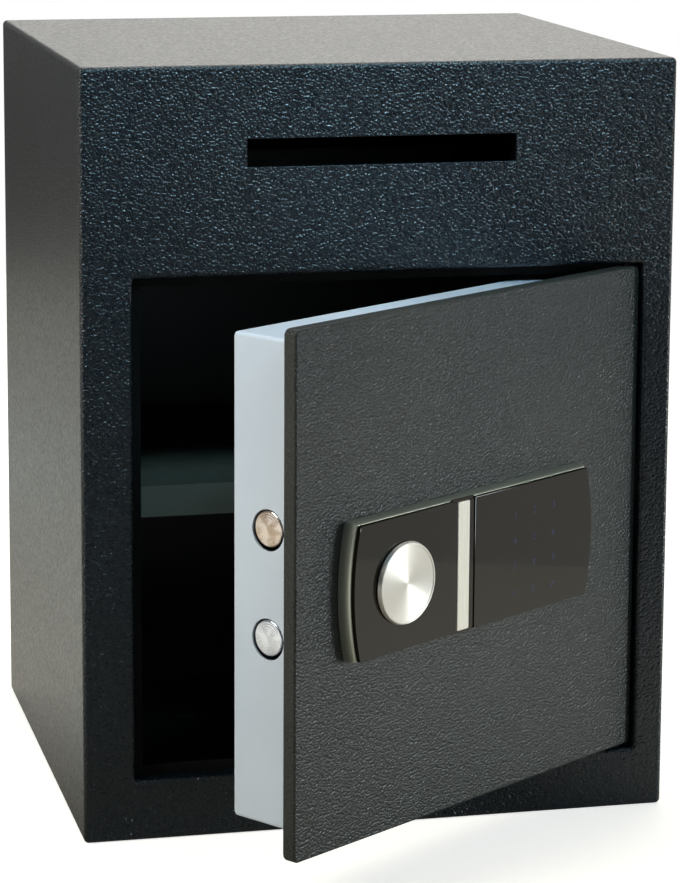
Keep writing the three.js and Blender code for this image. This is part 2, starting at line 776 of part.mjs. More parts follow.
function spindleAndCam() {
  const front = knobFront + knobRimDepth + knobRise / 2 + seatGap;
  const camY = plateBack + camDepth;
  const spindle = barY(spindleRadius, knobX, front, camY - seatGap, lockZ, roundSides);
  add(door, 'knob_spindle', spindle, zincSteel);
  const turn = Math.PI / 4;
  const pinX = knobX + crankRadius * Math.cos(turn);
  const pinZ = lockZ + crankRadius * Math.sin(turn);
  const disc = barY(camRadius, knobX, camY, camY + camThickness, lockZ, roundSides);
  const pin = barY(crankPinRadius, pinX, camY + camThickness / 2, camY + crankPinReach, pinZ, smallSides);
  add(door, 'drive_cam', join(disc, pin), zincSteel);
}

function guidePlaces() {
  const x = knobX - boltThrow / 4;
  return [['lower', x, carriageB + guideInset], ['upper', x, carriageT - guideInset - notchDepth]];
}

// The sliding plate that carries both bolts, with its slots, its flange and its lock notch
function boltCarriage() {
  const y1 = carriageY + carriageSheet;
  const plate = block(flangeX, carriageR, carriageY, y1, carriageB, carriageT);
  const flange = block(flangeX, flangeX + carriageSheet, boltY - boltTailRadius * 2, y1,
    carriageB, carriageT);
  const tools = boltHeights.map((z) => barX(boltTailRadius + runningGap, flangeX - cutOverrun,
    flangeX + carriageSheet + cutOverrun, boltY, z, roundSides));
  for (const [, x, z] of guidePlaces()) {
    const slotHalf = guideRadius + guidePlay;
    const shape = rounded(x - slotHalf, x + boltThrow + slotHalf, z - slotHalf, z + slotHalf,
      slotHalf * slotEndShare);
    tools.push(platform(shape, carriageY - cutOverrun, y1 + cutOverrun));
  }
  const turn = Math.PI / 4;
  const pinX = knobX + crankRadius * Math.cos(turn);
  const low = lockZ + crankRadius * Math.sin(turn);
  const high = lockZ + crankRadius;
  const half = crankPinRadius + crankPinPlay;
  const crank = rounded(pinX - half, pinX + half, low - half, high + half, half * slotEndShare);
  tools.push(platform(crank, carriageY - cutOverrun, y1 + cutOverrun));
  const notchX = plungerX + boltThrow;
  const notchHalf = plungerRadius + notchPlay;
  tools.push(block(notchX - notchHalf, notchX + notchHalf, carriageY - cutOverrun, y1 + cutOverrun,
    carriageT - notchDepth, carriageT + cutOverrun));
  add(door, 'bolt_carriage', cut(join(plate, flange), ...tools), zincSteel);
}

function bolts() {
  const names = ['lower', 'upper'];
  boltHeights.forEach((z, index) => {
    const end = boxL + boltLength;
    const tail = end + seatGap + carriageSheet + seatGap;
    const points = [
      [0, boxL],
      [boltRadius - boltEdge, boxL],
      [boltRadius, boxL + boltEdge],
      [boltRadius, end],
      [boltTailRadius, end],
      [boltTailRadius, tail],
      [boltRivetRadius, tail],
      [boltRivetRadius, tail + boltRivetLength],
      [0, tail + boltRivetLength],
    ];
    const lathe = new THREE.LatheGeometry(points.map(([r, d]) => new THREE.Vector2(r, d)), fineSides);
    const body = solid(lathe.rotateZ(-Math.PI / 2).translate(0, boltY, z));
    add(door, `bolt_${names[index]}`, body, brightNickel);
  });
}

// Studs on the door plate that the carriage slides along
function carriageGuides() {
  const y0 = plateBack + seatGap;
  const y1 = carriageY - runningGap;
  const y2 = carriageY + carriageSheet + runningGap;
  for (const [name, x, z] of guidePlaces()) {
    const body = join(barY(guideCollarRadius, x, y0, y1, z, smallSides),
      barY(guideRadius, x, y1 - runningGap, y2 + guideHeadLength / 2, z, smallSides),
      barY(guideHeadRadius, x, y2, y2 + guideHeadLength, z, smallSides));
    add(door, `carriage_guide_${name}`, body, zincSteel);
  }
}

// The solenoid above the carriage: an open steel frame, the coil in it and its plunger
function solenoid() {
  const z0 = carriageT + plungerReach;
  const z1 = z0 + solenoidSheet;
  const z2 = z1 + coilHeight + seatGap * 2;
  const z3 = z2 + solenoidSheet;
  const y0 = carriageY + carriageSheet / 2 - solenoidDepth / 2;
  const y1 = y0 + solenoidDepth;
  const half = coilWidth / 2 + seatGap;
  const middle = carriageY + carriageSheet / 2;
  const wall = block(plungerX + half, plungerX + half + solenoidSheet, y0, y1, z0, z3);
  const lower = block(plungerX - half, plungerX + half + solenoidSheet, y0, y1, z0, z1);
  const upper = block(plungerX - half, plungerX + half + solenoidSheet, y0, y1, z2, z3);
  const foot = block(plungerX + half, plungerX + half + solenoidSheet, plateBack + seatGap,
    y0 + seatGap, z0, z3);
  const hole = barZ(plungerRadius + runningGap, plungerX, middle, z0 - cutOverrun, z3 + cutOverrun,
    smallSides);
  add(door, 'solenoid_frame', cut(join(wall, lower, upper, foot), hole), zincSteel);
  const coil = cut(barZ(coilWidth / 2, plungerX, middle, z1 + seatGap, z2 - seatGap, roundSides),
    barZ(plungerRadius + runningGap, plungerX, middle, z1 - cutOverrun, z2 + cutOverrun, smallSides));
  add(door, 'solenoid_coil', coil, copperWinding);
  const plungerTop = z2 - plungerTravel * 2;
  const plunger = barZ(plungerRadius, plungerX, middle, carriageT + seatGap, plungerTop, smallSides);
  add(door, 'solenoid_plunger', plunger, zincSteel);
}

// Four cells side by side in a tray behind a cover in the housing's back
function batteries() {
  const open = boxBack - housingSheet - seatGap;
  const floor = open - batteryRadius * 2 - trayClear * 2 - trayWall;
  const outer = block(trayL, trayR, floor, open, trayB, trayT);
  const inner = block(trayL + trayWall, trayR - trayWall, floor + trayWall, open + cutOverrun,
    trayB + trayWall, trayT - trayWall);
  add(door, 'battery_tray', cut(outer, inner), blackPlastic);
  const y = floor + trayWall + seatGap + batteryRadius;
  for (let index = 0; index < batteryCount; index += 1) {
    const z = trayB + trayWall + batteryPitch * (index + 0.5);
    const way = index % 2 ? -1 : 1;
    const middle = (trayL + trayR) / 2;
    const half = (batteryLength + batteryNubLength) / 2;
    const points = [[0, -half], [batteryRadius, -half], [batteryRadius, half - batteryNubLength],
      [batteryNubRadius, half - batteryNubLength], [batteryNubRadius, half], [0, half]];
    const lathe = new THREE.LatheGeometry(points.map(([r, d]) => new THREE.Vector2(r, d)), smallSides);
    const body = solid(lathe.rotateZ(-way * Math.PI / 2).translate(middle, y, z));
    add(door, `battery_${index + 1}`, body, batteryJacket);
  }
  const cover = block(trayL + trayWall - coverLap, trayR - trayWall + coverLap, boxBack + seatGap,
    boxBack + seatGap + coverThickness, trayB + trayWall - coverLap, trayT - trayWall + coverLap);
  const middleX = (trayL + trayR) / 2;
  const plug = block(trayL + trayWall + seatGap, trayR - trayWall - seatGap, open + seatGap,
    boxBack + seatGap, trayB + trayWall + seatGap, trayT - trayWall - seatGap);
  const ridge = block(middleX - coverTab / 2, middleX + coverTab / 2, boxBack, boxBack + coverThickness * 2,
    trayT - coverTab, trayT - coverTab + coverThickness);
  add(door, 'battery_cover', join(cover, plug, ridge), blackPlastic);
}

cabinetShell();
frontFrame();
doorStop();
rearPanel();
hingeBlocks();
depositChute();
depositBaffle();
shelf();
shelfPegs();
anchorPlugs();
doorPlate();
hingePins();
boltworkHousing();
housingPosts();
lockHousing();
lockFaces();
keypadBoard();
lockScrews();
knob();
spindleAndCam();
boltCarriage();
bolts();
carriageGuides();
solenoid();
batteries();

export default safe;
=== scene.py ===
import json
import math

import bmesh
import bpy
from mathutils import Matrix, Vector


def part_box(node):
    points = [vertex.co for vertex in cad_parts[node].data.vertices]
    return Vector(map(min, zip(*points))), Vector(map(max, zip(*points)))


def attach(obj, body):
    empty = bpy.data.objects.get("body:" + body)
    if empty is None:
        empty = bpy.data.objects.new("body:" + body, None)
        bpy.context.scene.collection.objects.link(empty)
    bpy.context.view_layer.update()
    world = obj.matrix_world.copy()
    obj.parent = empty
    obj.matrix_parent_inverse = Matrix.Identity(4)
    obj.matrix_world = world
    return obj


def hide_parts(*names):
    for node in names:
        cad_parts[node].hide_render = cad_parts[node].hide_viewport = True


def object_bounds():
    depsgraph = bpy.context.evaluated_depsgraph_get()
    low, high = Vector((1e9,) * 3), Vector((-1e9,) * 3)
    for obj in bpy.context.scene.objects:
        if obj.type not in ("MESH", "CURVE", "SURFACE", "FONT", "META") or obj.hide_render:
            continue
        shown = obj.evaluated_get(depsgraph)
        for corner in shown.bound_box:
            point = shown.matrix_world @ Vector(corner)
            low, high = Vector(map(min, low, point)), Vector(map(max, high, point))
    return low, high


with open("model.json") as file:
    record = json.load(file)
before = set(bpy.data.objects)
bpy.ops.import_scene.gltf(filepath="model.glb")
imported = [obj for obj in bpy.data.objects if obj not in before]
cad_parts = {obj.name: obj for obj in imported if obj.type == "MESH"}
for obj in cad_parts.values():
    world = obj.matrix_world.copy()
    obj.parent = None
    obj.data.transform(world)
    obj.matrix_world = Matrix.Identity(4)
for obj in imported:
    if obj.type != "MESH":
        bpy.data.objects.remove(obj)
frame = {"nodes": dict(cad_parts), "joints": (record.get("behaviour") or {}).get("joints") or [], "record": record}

# A small steel deposit safe with its door standing open. Metres, in the frame of the CAD
# model: X to the right, Y into the cabinet, Z up.

CAD_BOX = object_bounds()
MM = 0.001
NODES = frame["nodes"]

# The door's own axes: X along the plate, Y through it, from its hinge at the resting angle
HINGE = next(joint for joint in frame["joints"] if joint["name"] == "door_hinge")
OPEN_ANGLE = -math.radians(HINGE["range_deg"][0])
PIVOT = Vector((HINGE["pos_m"][0], HINGE["pos_m"][1], 0))
DOOR = Matrix.Translation(PIVOT) @ Matrix.Rotation(OPEN_ANGLE, 4, "Z")
FORWARD = Matrix.Rotation(math.pi / 2, 4, "X")

# Cabinet
SHEET = 3 * MM
DOOR_GAP = 2 * MM
OUTER_EDGE = 2.5 * MM
CABINET_CORNER = 3 * MM
FOLD_RADIUS = 2.6 * MM
OPENING_CORNER = 2 * MM
SLOT_WIDTH = 158 * MM
SLOT_HEIGHT = 16 * MM
SLOT_EDGE = 0.5 * MM

# Door plate and the pale housing behind it
PLATE_CORNER = 4 * MM
PLATE_EDGE = 1.5 * MM
SEAT_GAP = 0.3 * MM
HOUSING_SHEET = 1.5 * MM
HOUSING_CORNER = 2.2 * MM
HOUSING_FOLD = 2.6 * MM
HOUSING_EDGE = 0.25 * MM
BOLT_HOLE_RADIUS = 11.4 * MM
BOLT_HOLE_DROP = 0.7 * MM
BATTERY_WINDOW_INSET = 2.5 * MM
BATTERY_WINDOW_CORNER = 1.5 * MM
SCREW_HOLE_RADIUS = 2.1 * MM

# Bolts: the domed end that shows, and the riveted tail
BOLT_CHAMFER = 0.9 * MM
BOLT_DOME = 0.7 * MM
BOLT_TAIL = 6.6 * MM
BODY_EDGE = 0.4 * MM
RIVET_NECK = 5 * MM
RIVET_RADIUS = 7.5 * MM
RIVET_LENGTH = 3 * MM
RIVET_EDGE = 0.6 * MM

# Screw heads: lengths, then shares of the head's radius and height and of its recess
HOUSING_SCREW_RISE = 2 * MM
LOCK_SCREW_RISE = 2.4 * MM
SCREW_SHANK = 1.7 * MM
HEAD_FLAT = 0.62
HEAD_SHOULDER = 0.7
RECESS_REACH = 0.5
RECESS_DEPTH = 0.55
RECESS_ARM = 0.26
RECESS_TAPER = 0.8

# Battery cover: its sheet, the plug in the window, and a grip of ribs that grow shorter
COVER_SHEET = 2 * MM
COVER_CORNER = 2.5 * MM
COVER_EDGE = 0.8 * MM
COVER_LAP = 4 * MM
PLAIN_EDGE = 0.1 * MM
GRIP_BELOW_TOP = 9.5 * MM
GRIP_HALF_WIDTH = 7 * MM
RIBS = 4
RIB_SHORTER = 0.12
RIB_PITCH = 3.2 * MM
RIB_HALF_HEIGHT = 0.9 * MM
RIB_CORNER = 0.85 * MM
RIB_RISE = 0.8 * MM
RIB_EDGE = 0.4 * MM

# Lock
LOCK_BOW = 5 * MM
LOCK_RIM = 1.6 * MM
LOCK_RIM_DROP = 0.1 * MM
LOCK_EDGE = 1.1 * MM
LOCK_EDGE_DEPTH = 5 * MM
LOCK_POCKET = 2.6 * MM
LOCK_WELL = 2.4 * MM
LENS_GAP = 0.3 * MM
LENS_INSET = 0.8 * MM
LENS_EDGE = 0.5 * MM
# Dark blocks in the channel between the faces, put there as painted shade
SHADE_BLOCK_GAP = 0.1 * MM
SHADE_BLOCK_RISE = 1.2 * MM
SHADE_BLOCK_DROP = 0.7 * MM
STRIP_EDGE = 0.4 * MM
SPINDLE_HOLE = 4.4 * MM
KNOB_NECK = 18 * MM
KNOB_CLEARANCE = 0.7 * MM
KNOB_TAPER = 0.5 * MM
KNOB_EDGE = 0.7 * MM
KNOB_RIM = 2.2 * MM
KNOB_GROOVE = 0.35 * MM
KNOB_DISH = 0.25 * MM
KNOB_FACE = 2 * MM

# Keypad marks; a digit's height is this share of its font size
DIGIT_ROWS = ("123", "456", "789", "*0#")
DIGIT_HEIGHT = 4.2 * MM
DIGIT_SHARE = 0.7
DIGIT_DEPTH = 0.02 * MM
DIGIT_DROP = 2 * MM
DIGIT_FIRST_COLUMN = 35.5 * MM
DIGIT_COLUMN_PITCH = 17.4 * MM
DIGIT_ROW_PITCH = 15.3 * MM

# Degrees from which an edge counts as sharp, or is softened
SHARP_FROM = 38
ROUND_SHARP_FROM = 50
BEVEL_FROM = 40

# Sides of round pieces, and steps round corners, edges and folds
FINE_SIDES = 128
HOLE_SIDES = 64
SCREW_SIDES = 32
CORNER_STEPS = 8
SLOT_STEPS = 4
EDGE_STEPS = 6
FOLD_STEPS = 8
LOCK_EDGE_STEPS = 10
DOME_STEPS = 8
DISH_STEPS = 10


def colour(red, green, blue):
    """A colour written as it looks on screen, 0 to 255, in the renderer's linear values."""
    def linear(value):
        share = value / 255
        return share / 12.92 if share <= 0.04045 else ((share + 0.055) / 1.055) ** 2.4
    return (linear(red), linear(green), linear(blue), 1)


# Node helpers

class Nodes:
    """Short calls for the nodes of one tree."""

    def __init__(self, tree):
        self.tree = tree

    def add(self, kind):
        return self.tree.nodes.new(kind)

    def link(self, source, target):
        self.tree.links.new(source, target)

    def put(self, value, socket):
        """Feeds a socket from another one, or sets it to a constant."""
        if isinstance(value, bpy.types.NodeSocket):
            self.link(value, socket)
        else:
            socket.default_value = value

    def coordinates(self, kind="Object"):
        return self.add("ShaderNodeTexCoord").outputs[kind]

    def parts(self, vector):
        """The X, Y and Z of a vector."""
        node = self.add("ShaderNodeSeparateXYZ")
        self.link(vector, node.inputs["Vector"])
        return node.outputs

    def through(self, kind, *values):
        """A new node's first output; it takes the values in order."""
        node = self.add(kind)
        for value, socket in zip(values, node.inputs):
            self.put(value, socket)
        return node.outputs[0]

    def math(self, operation, first, second):
        result = self.through("ShaderNodeMath", first, second)
        result.node.operation = operation
        return result

    def between(self, source, low, high, to_low=0, to_high=1, smooth=True):
        """Goes from to_low to to_high while the source goes from low to high."""
        node = self.add("ShaderNodeMapRange")
        if smooth:
            node.interpolation_type = "SMOOTHSTEP"
        self.link(source, node.inputs["Value"])
        node.inputs["From Min"].default_value = low
        node.inputs["From Max"].default_value = high
        node.inputs["To Min"].default_value = to_low
        node.inputs["To Max"].default_value = to_high
        return node.outputs["Result"]

    def mix(self, share, first, second):
        """The first colour where share is 0, the second where it is 1."""
        node = self.add("ShaderNodeMix")
        node.data_type = "RGBA"
        self.link(share, node.inputs["Factor"])
        self.put(first, node.inputs["A"])
        self.put(second, node.inputs["B"])
        return node.outputs["Result"]


class Shader(Nodes):
    """A material with its Principled shader, and short calls for the nodes that feed it."""

    def __init__(self, name, base, roughness, metallic=0.0, specular=0.5):
        self.material = bpy.data.materials.new(name)
        self.material.use_nodes = True
        super().__init__(self.material.node_tree)
        self.shader = self.tree.nodes["Principled BSDF"]
        self.feed("Base Color", base)
        self.feed("Roughness", roughness)
        self.feed("Metallic", metallic)
        self.feed("Specular IOR Level", specular)
        self.place = self.coordinates()

    def feed(self, name, value):
        self.put(value, self.shader.inputs[name])

    def fed(self, name):
        """What feeds one of the shader's inputs."""
        return self.shader.inputs[name].links[0].from_socket

    def stretched(self, scale):
        node = self.add("ShaderNodeMapping")
        node.inputs["Scale"].default_value = scale
        self.link(self.place, node.inputs["Vector"])
        return node.outputs["Vector"]

    def texture(self, kind, scale, vector=None):
        node = self.add("ShaderNodeTex" + kind)
        node.inputs["Scale"].default_value = scale
        self.link(vector or self.place, node.inputs["Vector"])
        return node

    def noise(self, scale, detail=2, roughness=0.5, vector=None):
        node = self.texture("Noise", scale, vector)
        node.inputs["Detail"].default_value = detail
        node.inputs["Roughness"].default_value = roughness
        return node.outputs["Fac"]

    def cells(self, scale, smoothness, vector=None):
        """Distance from the nearest of many scattered points."""
        node = self.texture("Voronoi", scale, vector)
        node.feature = "SMOOTH_F1"
        node.inputs["Smoothness"].default_value = smoothness
        return node.outputs["Distance"]

    def waves(self, kind, scale, distortion=0.0):
        """Waves in circles round the piece's Z axis (RINGS) or along it (BANDS)."""
        node = self.texture("Wave", scale)
        node.wave_type = kind
        node.rings_direction = "Z"
        node.bands_direction = "Z"
        node.inputs["Distortion"].default_value = distortion
        return node.outputs["Fac"]

    def base(self, share, first, second):
        self.feed("Base Color", self.mix(share, first, second))

    def roughness(self, source, low, high, smooth, rough):
        """From smooth to rough while the source goes from low to high."""
        self.feed("Roughness", self.between(source, low, high, smooth, rough))

    def bump(self, height, strength, distance):
        """Raises the surface by up to the distance, on top of the bumps it already has."""
        node = self.add("ShaderNodeBump")
        node.inputs["Strength"].default_value = strength
        node.inputs["Distance"].default_value = distance
        self.link(height, node.inputs["Height"])
        if self.shader.inputs["Normal"].links:
            self.link(self.fed("Normal"), node.inputs["Normal"])
        self.link(node.outputs["Normal"], self.shader.inputs["Normal"])


# Finishes. Scales of noise, cells and waves are counts per metre.

GRAIN_BREAK_UP = 0.3
GRAIN_SMOOTHNESS = 0.3
SHELL_HALF_DEPTH = 160 * MM
# Colour of the shell's inside faces: painted shade for the dim inside of the box
SHELL_PAINTED_SHADE = colour(9, 10, 7)
INSIDE_FROM = 0.6 * SHEET
OUTSIDE_FROM = 0.4 * SHEET
INSIDE_EXTRA_ROUGHNESS = 0.4

# The front's grain is flatter beside the hinges: by how much, and from where
CALM_SHARE = 0.45
CALM_FROM_X = (20 * MM, 120 * MM)
CALM_BELOW_Z = (260 * MM, 360 * MM)


def textured_paint(name, dark, light, roughness, pitch, height, draw=(1, 1, 1), specular=0.5):
    """Powder coat with a raised grain: low domes, pitch apart, broken up by finer noise."""
    paint = Shader(name, dark, roughness, specular=specular)
    paint.base(paint.between(paint.noise(9, detail=3), 0.35, 0.65), dark, light)
    drawn = paint.stretched(draw)
    away = paint.cells(1 / pitch, GRAIN_SMOOTHNESS, drawn)
    broken = paint.noise(0.6 / pitch, vector=drawn)
    breaks = paint.math("MULTIPLY", broken, GRAIN_BREAK_UP)
    grain = paint.math("SUBTRACT", breaks, paint.math("MULTIPLY", away, away))
    paint.bump(grain, 1, height)
    paint.roughness(broken, 0.3, 0.7, roughness - 0.05, roughness + 0.08)
    return paint


def sheet_paint():
    """The shell's coat: as on the front, but rolled flatter, and with painted shade: darker inside the box."""
    paint = textured_paint("shell_paint", colour(12, 18, 22), colour(15, 22, 27), roughness=0.34,
                           pitch=1.1 * MM, height=0.09 * MM)
    low, high = CAD_BOX
    half_height = high[2] / 2
    middle_depth = (low[1] + high[1]) / 2
    walls = (("X", 0, high[0]), ("Z", half_height, half_height), ("Y", middle_depth, SHELL_HALF_DEPTH))
    parts = paint.parts(paint.place)
    outside = 0
    for axis, centre, half in walls:
        away = paint.math("ABSOLUTE", paint.math("SUBTRACT", parts[axis], centre), 0)
        beyond = paint.between(away, half - INSIDE_FROM, half - OUTSIDE_FROM)
        outside = paint.math("MAXIMUM", outside, beyond)
    # Painted shade: faces inside the box take the darker colour
    paint.base(outside, SHELL_PAINTED_SHADE, paint.fed("Base Color"))
    inside = paint.math("SUBTRACT", 1, outside)
    extra = paint.math("MULTIPLY", inside, INSIDE_EXTRA_ROUGHNESS)
    paint.feed("Roughness", paint.math("ADD", paint.fed("Roughness"), extra))
    return paint.material


def front_paint():
    """The front's coat, with its grain flattened low beside the hinges."""
    paint = textured_paint("front_paint", colour(3, 14, 21), colour(5, 18, 26), roughness=0.3,
                           pitch=1.55 * MM, height=0.6 * MM, draw=(0.9, 0.9, 1.15), specular=0.6)
    parts = paint.parts(paint.place)
    right = paint.between(parts["X"], *CALM_FROM_X, 0, CALM_SHARE)
    low = paint.between(parts["Z"], *CALM_BELOW_Z, 1, 0)
    kept = paint.math("SUBTRACT", 1, paint.math("MULTIPLY", right, low))
    height = paint.fed("Normal").node.inputs["Height"]
    grain = height.links[0].from_socket
    paint.link(paint.math("MULTIPLY", grain, kept), height)
    return paint.material


def door_paint():
    """The door's coat: a finer, flatter grain."""
    paint = textured_paint("door_paint", colour(44, 47, 45), colour(49, 51, 48), roughness=0.36,
                           pitch=1.3 * MM, height=0.44 * MM, draw=(0.65, 0.8, 1), specular=0.3)
    return paint.material


def smooth_paint(name, dark, light, roughness, specular=0.5):
    """Satin paint with the faint wave of a sprayed coat."""
    paint = Shader(name, dark, roughness, specular=specular)
    paint.base(paint.between(paint.noise(14, detail=4), 0.3, 0.7), dark, light)
    paint.bump(paint.noise(420), 0.35, 0.06 * MM)
    paint.roughness(paint.noise(60, detail=3), 0.3, 0.7, roughness - 0.05, roughness + 0.07)
    return paint.material


def plated_steel():
    """Zinc plate: pale metal with a cloudy, slightly yellow passivation."""
    metal = Shader("zinc_plate", colour(178, 180, 182), 0.38, metallic=1)
    clouds = metal.between(metal.noise(90, detail=4, roughness=0.6), 0.35, 0.65)
    metal.base(clouds, colour(188, 190, 192), colour(184, 176, 150))
    metal.roughness(metal.noise(300, detail=3), 0.3, 0.7, 0.28, 0.5)
    metal.bump(metal.noise(900), 0.3, 0.03 * MM)
    return metal.material


def turned_nickel(name, pale, dull, dents):
    """Bright nickel over a faced-off bar end: fine rings, and dents of the given strength."""
    metal = Shader(name, pale, 0.16, metallic=1)
    metal.base(metal.between(metal.noise(130), 0.42, 0.62), pale, dull)
    metal.roughness(metal.noise(200, detail=3, roughness=0.6), 0.35, 0.65, 0.16, 0.32)
    metal.bump(metal.waves("RINGS", 230, distortion=1), 0.5, 0.05 * MM)
    metal.bump(metal.noise(200, detail=3, roughness=0.6), dents, 0.25 * MM)
    return metal.material


def spun_aluminium():
    """Spun aluminium: the turning marks stretch each highlight across the face."""
    metal = Shader("spun_aluminium", colour(230, 225, 216), 0.4, metallic=0.78)
    tangent = metal.add("ShaderNodeTangent")
    tangent.direction_type = "RADIAL"
    tangent.axis = "Z"
    metal.feed("Tangent", tangent.outputs["Tangent"])
    metal.feed("Anisotropic", 0.75)
    metal.feed("Anisotropic Rotation", 0.25)
    metal.roughness(metal.waves("RINGS", 900, distortion=0.4), 0, 1, 0.38, 0.48)
    metal.bump(metal.waves("RINGS", 620), 0.12, 0.02 * MM)
    return metal.material


def satin_silver():
    """Satin metal trim with a fine lengthwise brushing."""
    metal = Shader("satin_silver", colour(204, 208, 190), 0.36, metallic=0.88)
    brushed = metal.noise(1, detail=3, roughness=0.6, vector=metal.stretched((60, 2400, 2400)))
    metal.base(metal.between(brushed, 0.3, 0.7), colour(196, 200, 180), colour(212, 214, 202))
    metal.roughness(brushed, 0.3, 0.7, 0.3, 0.44)
    metal.bump(brushed, 0.15, 0.02 * MM)
    return metal.material


def pearl_strip():
    """The pale satin strip in the channel between the two faces."""
    strip = Shader("pearl_strip", colour(226, 221, 208), 0.38, metallic=0.35)
    brushed = strip.noise(1, detail=3, roughness=0.6, vector=strip.stretched((2400, 2400, 60)))
    strip.base(strip.between(brushed, 0.3, 0.7), colour(220, 211, 195), colour(232, 225, 212))
    strip.bump(brushed, 0.1, 0.02 * MM)
    return strip.material


def smoked_gloss():
    """Smoked glossy plastic: almost black brown and mirror smooth on its front; its edges get no reflection and
    show as black lines, painted shade.
    """
    face = Shader("smoked_gloss", colour(26, 23, 19), 0.04)
    normal = face.parts(face.coordinates("Normal"))
    frontal = face.math("ABSOLUTE", normal["Y"], 0)
    # Painted shade: faces that turn away from the front lose their reflection, so the edges stay black
    face.feed("Specular IOR Level", face.between(frontal, 0.75, 0.99, 0, 0.5))
    face.base(face.between(face.noise(20), 0.35, 0.65), colour(30, 25, 18), colour(27, 24, 17))
    face.roughness(face.noise(70, detail=4, roughness=0.6), 0.4, 0.75, 0.03, 0.09)
    return face.material


def printed_digit():
    """The dim blue of keypad numbers seen through the smoked lens."""
    ink = Shader("dim_blue", colour(50, 52, 82), 0.1)
    ink.base(ink.between(ink.noise(700, detail=1), 0.3, 0.7), colour(46, 47, 72), colour(56, 57, 90))
    return ink.material


def moulded_plastic(name, tone, roughness):
    """Moulded plastic or rubber with a spark-eroded grain."""
    plastic = Shader(name, tone, roughness)
    lighter = tuple(min(1, value * 1.5) for value in tone[:3]) + (1,)
    plastic.base(plastic.between(plastic.noise(30, detail=3), 0.3, 0.7), tone, lighter)
    plastic.bump(plastic.noise(2600, roughness=0.6), 0.4, 0.05 * MM)
    plastic.roughness(plastic.noise(500), 0.3, 0.7, roughness - 0.06, roughness + 0.08)
    return plastic.material


def copper_winding():
    """Enamelled wire laid in close turns round the coil."""
    wire = Shader("copper_winding", colour(165, 98, 46), 0.3, metallic=0.9)
    turns = wire.waves("BANDS", 520)
    # The colour follows the turns: darker in the grooves between them and lighter on their crests, painted shade
    # and painted highlight
    wire.base(turns, colour(110, 58, 26), colour(186, 116, 58))
    wire.bump(turns, 0.8, 0.25 * MM)
    return wire.material


def circuit_board():
    """Green solder mask with the shine of tracks under it."""
    board = Shader("solder_mask", colour(31, 90, 58), 0.35)
    tracks = board.cells(320, 0.1)
    board.base(board.between(tracks, 0.2, 0.3), colour(26, 78, 48), colour(38, 104, 66))
    board.bump(tracks, 0.2, 0.05 * MM)
    return board.material


def battery_jacket():
    """A plain printed foil jacket in two dark greys."""
    jacket = Shader("battery_jacket", colour(51, 55, 59), 0.3, metallic=0.4)
    jacket.base(jacket.between(jacket.noise(40), 0.45, 0.55), colour(48, 52, 56), colour(66, 70, 74))
    jacket.roughness(jacket.noise(400), 0.3, 0.7, 0.22, 0.36)
    return jacket.material


FINISH = {
    "cabinet_paint": sheet_paint(),
    "door_paint": door_paint(),
    "housing_paint": smooth_paint("housing_paint", colour(202, 214, 228), colour(208, 220, 233), 0.4),
    # The shelf's grey-green, darkened a little: partly its own colour, partly painted shade for the dim inside of
    # the box
    "inner_paint": smooth_paint("inner_paint", colour(66, 70, 62), colour(74, 78, 68), 0.55),
    "zinc": plated_steel(),
    "nickel": turned_nickel("bright_nickel", colour(222, 227, 237), colour(206, 210, 218), 0.22),
    "silver_trim": satin_silver(),
    "spun_aluminium": spun_aluminium(),
    "gloss_black": smoked_gloss(),
    "black_plastic": moulded_plastic("black_plastic", colour(24, 25, 28), 0.5),
    "black_rubber": moulded_plastic("black_rubber", colour(27, 27, 28), 0.75),
    "circuit_board": circuit_board(),
    "copper": copper_winding(),
    "battery_jacket": battery_jacket(),
}
FRONT_PAINT = front_paint()
# Near-black paint, darker than the shell's: painted shade on the doorway's stop frame, the deposit chute and the
# hinge pins
SHADE_PAINT = smooth_paint("shade_paint", colour(6, 7, 7), colour(9, 10, 9), 0.75, specular=0.15)
# The upper bolt's nickel: dented and mottled, and tinted warm tan as a painted reflection
WORN_NICKEL_PAINTED_REFLECTION = turned_nickel("worn_nickel_painted_reflection", colour(218, 208, 200), colour(182, 164, 148), 0.45)
PEARL = pearl_strip()
DIGIT_INK = printed_digit()

# Nodes that keep their CAD shape: slot, softened edge, own material, start of the name.
# The first line that fits counts.
PLAIN = (
    ("cabinet_paint", 0, None, ("cabinet_shell",)),
    ("cabinet_paint", 0.5 * MM, None, ("rear_panel",)),
    ("cabinet_paint", 0.4 * MM, SHADE_PAINT, ("door_stop_frame",)),
    ("inner_paint", 0.3 * MM, SHADE_PAINT, ("deposit",)),
    ("zinc", 0.3 * MM, SHADE_PAINT, ("hinge_pin",)),
    ("zinc", 0.4 * MM, None, ("hinge_block",)),
    ("zinc", 0.3 * MM, None, ("shelf_peg", "housing_post", "solenoid_frame", "solenoid_plunger")),
    ("zinc", 0.3 * MM, None, ("carriage_guide", "bolt_carriage", "knob_spindle", "drive_cam")),
    ("inner_paint", 0.6 * MM, None, ("shelf",)),
    ("black_rubber", 0.4 * MM, None, ("floor_plug", "rear_plug")),
    ("copper", 0.3 * MM, None, ("solenoid_coil",)),
    ("circuit_board", 0, None, ("keypad_board",)),
    ("black_plastic", 0.3 * MM, None, ("battery_tray",)),
    ("battery_jacket", 0.4 * MM, None, ("battery_1", "battery_2", "battery_3", "battery_4")),
)
WELD_WITHIN = 0.005 * MM


# Shape helpers: outlines are lists of (x, z) points, rings are outlines put into a mesh

def arc(centre, radius, start, end, steps):
    turns = [start + (end - start) * step / steps for step in range(steps + 1)]
    return [(centre[0] + radius * math.cos(a), centre[1] + radius * math.sin(a)) for a in turns]


